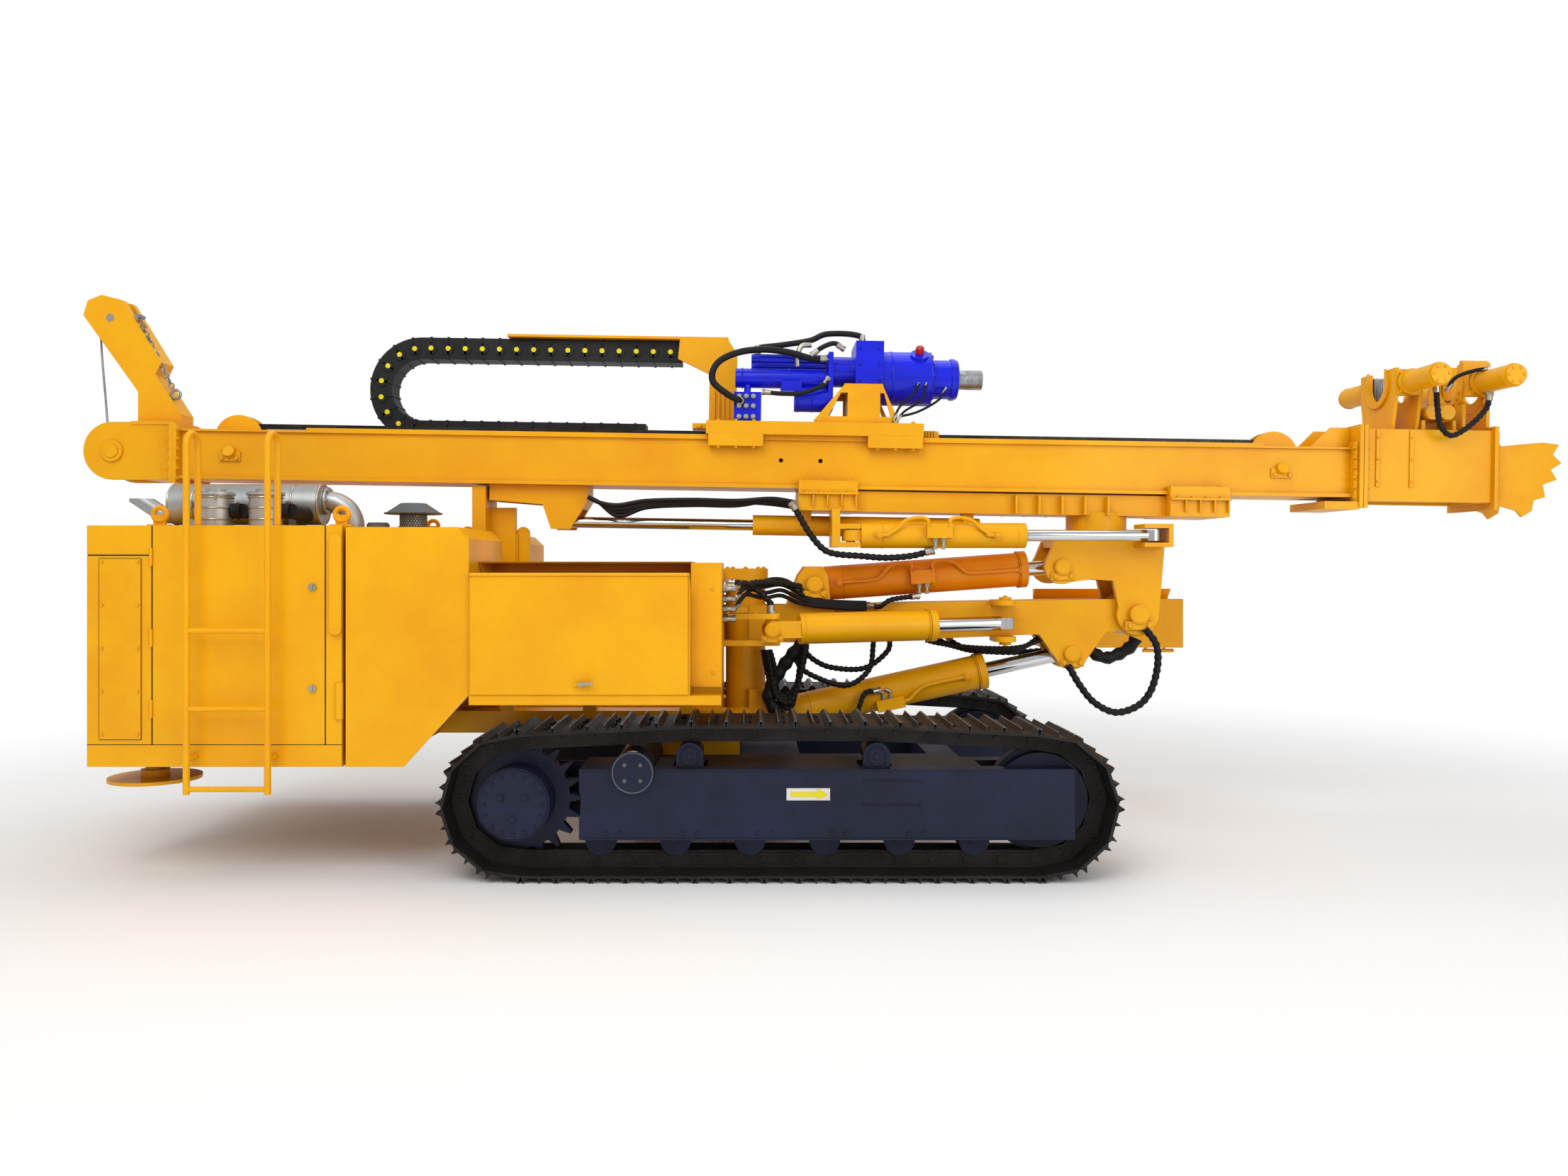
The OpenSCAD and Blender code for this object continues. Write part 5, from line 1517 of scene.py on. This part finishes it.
@dataclass
class HeadDetails:
    """Bolts, cap, threads and fittings of the carriage, the rotary head and the clamps."""

    def build(self) -> None:
        """Builds the pieces of the head and the clamps."""
        self._carriage()
        self._head()
        self._valve()
        self._clamps()
        self._spade()

    @staticmethod
    def _carriage() -> None:
        """Guide bolts, lug boss and ribs of the carriage."""
        bolts = Piece("carriage_bolts", "yellow", "carriage")
        for side in (-1, 1):
            for start in (0.014, 0.916):
                for k in range(3):
                    seat = on_mast(HEAD_U + start + 0.055 + 0.100 * k, side * 0.200, MAST_H - 0.052)
                    bolts.bolt(seat, (0, 0, -1), 0.012)
                    seat = on_mast(HEAD_U + start + 0.055 + 0.100 * k, side * 0.200, MAST_H + 0.090)
                    bolts.bolt(seat, (0, 0, 1), 0.011)
            lug = on_mast(HEAD_U - 0.045, side * 0.060, MAST_H + 0.075)
            bolts.bar(lug, lug + Vector((0, side * 0.018, 0)), 0.012, 16)
        for k in range(5):
            u = HEAD_U + 0.030 + 0.028 * k
            bolts.mast_block((u, 0.176, MAST_H + 0.090), (u + 0.007, 0.192, 0.600))
        bolts.done()

    @staticmethod
    def _head() -> None:
        """Seams and bolts of the gear case and motors, the red cap and the spindle's thread."""
        case = Piece("case_bolts", "blue", "carriage")
        for k in range(12):
            angle = 2 * math.pi * k / 12
            for u, radius in ((0.1, 0.0),):
                seat = on_mast(HEAD_U + 1.290, 0.138 * math.cos(angle), DRILL_W + 0.138 * math.sin(angle))
                case.bolt(seat, on_mast(1, 0, 0) - on_mast(u - 0.1, 0, radius), 0.010)
        for w in (-0.03, 0.06, 0.15):
            for u in (0.870, 0.980):
                case.bolt(on_mast(HEAD_U + u, -0.165, DRILL_W + w), (0, -1, 0), 0.010, False)
        axis = on_mast(1, 0, 0) - on_mast(0, 0, 0)
        for u, radius in ((1.060, 0.156), (1.285, 0.154), (1.440, 0.110)):
            case.ring(on_mast(HEAD_U + u, 0, DRILL_W), axis, radius - 0.002, 0.005, 56)
        for u in (0.20, 0.47, 0.68):
            case.ring(on_mast(HEAD_U + u, -0.072, DRILL_W - 0.020), axis, 0.056, 0.005, 36)
        for u in (0.52, 0.60, 0.68):
            case.ring(on_mast(HEAD_U + u, -0.080, DRILL_W - 0.135), axis, 0.075, 0.004, 40)
        for v, w in ((-0.14, 0.10), (0.13, 0.10), (-0.14, -0.18), (0.13, -0.18), (0.0, 0.11)):
            case.bolt(on_mast(HEAD_U + 0.690, v, DRILL_W + w), (-1, 0, 0), 0.011)
        case.done()
        cap = Piece("red_cap", "red", "carriage")
        foot = on_mast(HEAD_U + 1.215, -0.100, DRILL_W + 0.135)
        up = Vector((0, -0.6, 0.8))
        cap.bar(foot, foot + up * 0.034, 0.024, 24)
        cap.bar(foot + up * 0.034, foot + up * 0.044, 0.024, 24, 0.014)
        cap.done()
        thread = Piece("spindle_thread", "worn", "spindle")
        for k in range(9):
            thread.ring(on_mast(HEAD_U + 1.500 + 0.010 * k, 0, DRILL_W), axis, 0.0535, 0.0035, 44)
        thread.ring(on_mast(HEAD_U + 1.452, 0, DRILL_W), axis, 0.058, 0.006, 44)
        thread.done()

    @staticmethod
    def _valve() -> None:
        """Silver fittings, elbow and screws of the head's valve block and motors."""
        silver = Piece("head_fittings", "fitting", "carriage")
        for u in (0.185, 0.225, 0.265):
            for w in (0.400, 0.460, 0.515):
                seat = on_mast(HEAD_U + u, -0.190, w)
                silver.bar(seat, seat + Vector((0, -0.020, 0)), 0.015, 6)
                silver.bar(seat, seat + Vector((0, -0.036, 0)), 0.010, 16)
        for u in (0.51, 0.56, 0.61, 0.66):
            seat = on_mast(HEAD_U + u, -0.080, DRILL_W - 0.062)
            silver.bar(seat, seat + Vector((0, 0, 0.026)), 0.014, 6)
        silver.done()
        elbow = [(-0.022, -0.100, 2.823), (-0.080, -0.105, 2.815), (-0.101, -0.105, 2.757), (-0.101, -0.100, 2.700)]
        tube("head_elbow", elbow, 0.015, "fitting", "carriage")

    @staticmethod
    def _clamps() -> None:
        """Bolts, end caps and jaw teeth of both rod clamps."""
        for name, u, body in (("fixed", 3.350, "mast"), ("break", 3.755, "break_clamp")):
            bolts = Piece(f"{name}_clamp_bolts", "yellow", body)
            for side in (-1, 1):
                for du in (-0.052, 0.052):
                    for dw in (-0.052, 0.052):
                        seat = on_mast(u + du, side * 0.196, DRILL_W + dw)
                        bolts.bolt(seat, (0, side, 0), 0.010)
                end = on_mast(u, side * 0.490, DRILL_W)
                bolts.bar(end - Vector((0, side * 0.004, 0)), end + Vector((0, side * 0.014, 0)), 0.056, 40)
                bolts.ring(end - Vector((0, side * 0.012, 0)), (0, 1, 0), 0.061, 0.004, 44)
                for k in range(6):
                    angle = 2 * math.pi * k / 6
                    seat = end + Vector((0.042 * math.cos(angle), side * 0.014, 0.042 * math.sin(angle)))
                    bolts.bolt(seat, (0, side, 0), 0.007, False)
            for du, out in ((-0.078, -1), (0.078, 1)):
                for k in range(8):
                    angle = math.radians(200 + 20 * k)
                    seat = on_mast(u + du, 0.122 * math.cos(angle), DRILL_W + 0.122 * math.sin(angle))
                    bolts.bolt(seat, (out, 0, 0), 0.009)
            bolts.done()
        for name, side in (("near", -1), ("far", 1)):
            teeth = Piece(f"jaw_teeth_{name}", "worn", f"jaw_{name}")
            for k in range(9):
                teeth.mast_block(
                    (3.304 + 0.0105 * k, side * 0.086 - 0.003, DRILL_W - 0.056),
                    (3.309 + 0.0105 * k, side * 0.086 + 0.003, DRILL_W + 0.056),
                )
            teeth.done()

    @staticmethod
    def _spade() -> None:
        """Bolts and weld seams of the toothed plates at the mast's foot."""
        bolts = Piece("spade_bolts", "yellow", "mast")
        for side in (-1, 1):
            for k in range(4):
                bolts.bolt(on_mast(3.860, side * 0.182, 0.03 + 0.09 * k), (1, 0, 0), 0.012)
        bolts.done()


PARTS: list = [Undercarriage(), House(), BoomDetails(), MastDetails(), HeadDetails(), Hoses()]


@dataclass
class PaintShop:
    """Gives each CAD node its finish."""

    wearers: dict[str, tuple[str, ...]] = field(
        default_factory=lambda: {
            "track": ("track_near", "track_far"),
            "blue_black": (
                "track_frame_near", "track_frame_far", "drive_near", "drive_far",
                "rollers_near", "rollers_far",
            ),
            "iron": ("engine_block",),
            "silver": ("exhaust",),
            "grey": ("rain_cap",),
            "plastic": ("energy_chain", "control_levers"),
            "chrome": ("lift_rod", "tilt_rod", "swing_rod", "slew_rod", "slide_rod"),
            "amber": ("tilt_barrel",),
            "worn": ("head_sheave", "spindle", "jaw_near", "jaw_far"),
            "grease": ("feed_chain",),
            "blue": ("rotary_head",),
        }
    )
    usual: str = "yellow"

    def build(self, nodes: dict[str, bpy.types.Object]) -> None:
        """Sets the material of every CAD node.

        Args:
            nodes: CAD nodes by name.
        """
        keys = {name: key for key, names in self.wearers.items() for name in names}
        for name, node in nodes.items():
            key = keys.get(name, self.usual)
            node.data.materials.clear()
            node.data.materials.append(Paints.get(key))
            if name == "chassis_frame":
                self._paint_under_deck_shade(node)
            activate(node)
            bpy.ops.object.shade_smooth_by_angle(angle=math.radians(30))
        LOG.info("painted %d CAD nodes", len(nodes))

    @staticmethod
    def _paint_under_deck_shade(node: bpy.types.Object) -> None:
        """Paints the centre frame between the tracks, below the deck, in the tracks' frames' blue-black as painted
        shade under the deck.
        """
        deck_beams_z, frame_top, frame_rear = 0.64, 0.521, -1.10
        post_foot_y, post_foot_front = 0.41, -0.42
        node.data.materials.append(Paints.get("blue_black"))
        for face in node.data.polygons:
            x, y, z = face.center
            under_post = z > frame_top and abs(y) < post_foot_y and x < post_foot_front
            # Painted shade: faces low between the tracks, apart from the post's foot, take the dark blue-black
            # instead of yellow.
            if z < deck_beams_z and x > frame_rear and not under_post:
                face.material_index = 1


@dataclass
class Studio:
    """Floor, light, background and camera, set to match the photograph."""

    camera_at: Point = (-0.366, -6.85, 1.556)
    lens: float = 27.0
    shift: tuple[float, float] = (0.0208, -0.0142)
    key_power: float = 390.0
    sky_strength: float = 0.55

    def build(self) -> None:
        """Builds the floor, world, lamps, camera and view settings."""
        self._floor()
        self._world()
        self._lamp("key", (-3.0, -7.5, 8.0), (0.0, 0.0, 1.2), 6.0, self.key_power)
        self._lamp("fill", (6.0, -8.0, 4.0), (0.5, 0.0, 1.4), 5.0, self.key_power * 0.55)
        self._lamp("top", (0.0, 1.5, 9.0), (0.0, 0.0, 1.0), 8.0, self.key_power * 0.6)
        self._camera()
        self._settings()
        LOG.info("studio ready")

    def _floor(self) -> None:
        """Pale floor that fades into the white background."""
        bpy.ops.object.select_all(action="DESELECT")
        bpy.ops.mesh.primitive_plane_add(size=60, location=(0, 0, 0))
        floor = bpy.context.active_object
        floor.name = "floor"
        paint = bpy.data.materials.new("floor")
        paint.use_nodes = True
        tree = paint.node_tree
        tree.nodes.clear()
        shader = add_node(
            tree, "ShaderNodeBsdfPrincipled", {"Base Color": (0.93, 0.93, 0.93, 1.0), "Roughness": 0.85}
        )
        place = add_node(tree, "ShaderNodeTexCoord", {})
        reach = add_node(
            tree, "ShaderNodeVectorMath", {0: place.outputs["Object"]}, operation="LENGTH"
        )
        far = add_node(
            tree,
            "ShaderNodeMapRange",
            {"Value": reach.outputs["Value"], "From Min": 3.2, "From Max": 8.5},
            interpolation_type="SMOOTHSTEP",
        )
        path = add_node(tree, "ShaderNodeLightPath", {})
        fade = add_node(
            tree,
            "ShaderNodeMath",
            {0: far.outputs["Result"], 1: path.outputs["Is Camera Ray"]},
            operation="MULTIPLY",
        )
        white = add_node(tree, "ShaderNodeEmission", {"Color": (1, 1, 1, 1), "Strength": 1.0})
        both = add_node(
            tree,
            "ShaderNodeMixShader",
            {0: fade.outputs[0], 1: shader.outputs["BSDF"], 2: white.outputs[0]},
        )
        add_node(tree, "ShaderNodeOutputMaterial", {"Surface": both.outputs[0]})
        floor.data.materials.append(paint)
        floor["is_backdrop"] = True

    def _world(self) -> None:
        """White where the camera, mirrors or glass look at it, softer as a light."""
        world = bpy.data.worlds.new("studio")
        bpy.context.scene.world = world
        world.use_nodes = True
        tree = world.node_tree
        tree.nodes.clear()
        path = add_node(tree, "ShaderNodeLightPath", {})
        seen = add_node(
            tree,
            "ShaderNodeMath",
            {0: path.outputs["Is Camera Ray"], 1: path.outputs["Is Transmission Ray"]},
            operation="MAXIMUM",
        ).outputs[0]
        light = add_node(tree, "ShaderNodeBackground", {"Color": (1, 1, 1, 1), "Strength": self.sky_strength})
        white = add_node(tree, "ShaderNodeBackground", {"Color": (1, 1, 1, 1), "Strength": 1.0})
        both = add_node(
            tree, "ShaderNodeMixShader", {0: seen, 1: light.outputs[0], 2: white.outputs[0]}
        )
        add_node(tree, "ShaderNodeOutputWorld", {"Surface": both.outputs[0]})

    @staticmethod
    def _lamp(name: str, place: Point, target: Point, size: float, power: float) -> None:
        """Adds a square area lamp that faces a target."""
        bpy.ops.object.select_all(action="DESELECT")
        aim = Vector(target) - Vector(place)
        bpy.ops.object.light_add(type="AREA", location=place, rotation=aim.to_track_quat("-Z", "Y").to_euler())
        lamp = bpy.context.active_object
        lamp.name = f"lamp_{name}"
        lamp.data.shape = "SQUARE"
        lamp.data.size = size
        lamp.data.energy = power

    def _camera(self) -> None:
        """Level camera on the near side with the photograph's lens and shift."""
        bpy.ops.object.select_all(action="DESELECT")
        bpy.ops.object.camera_add(location=self.camera_at, rotation=(math.radians(90), 0, 0))
        camera = bpy.context.active_object
        camera.data.lens = self.lens
        camera.data.sensor_width = 36.0
        camera.data.shift_x, camera.data.shift_y = self.shift
        camera.data.clip_end = 200
        bpy.context.scene.camera = camera

    @staticmethod
    def _settings() -> None:
        """Standard view transform without a look."""
        view = bpy.context.scene.view_settings
        view.view_transform = "Standard"
        view.look = "None"
        view.exposure = 0.0


def main() -> dict[str, list[list[float]]]:
    """Loads the frame, builds every sub-assembly in order and returns the sizes before and after.

    Returns:
        The object's bounds straight after loading and just before the end.
    """
    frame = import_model()
    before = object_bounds()
    random.seed(7)
    PaintShop().build(frame["nodes"])
    for part in PARTS:
        part.build()
    Studio().build()
    return {"frame": [list(c) for c in before], "finished": [list(c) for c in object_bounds()]}


if __name__ == "__main__":
    SIZES = main()
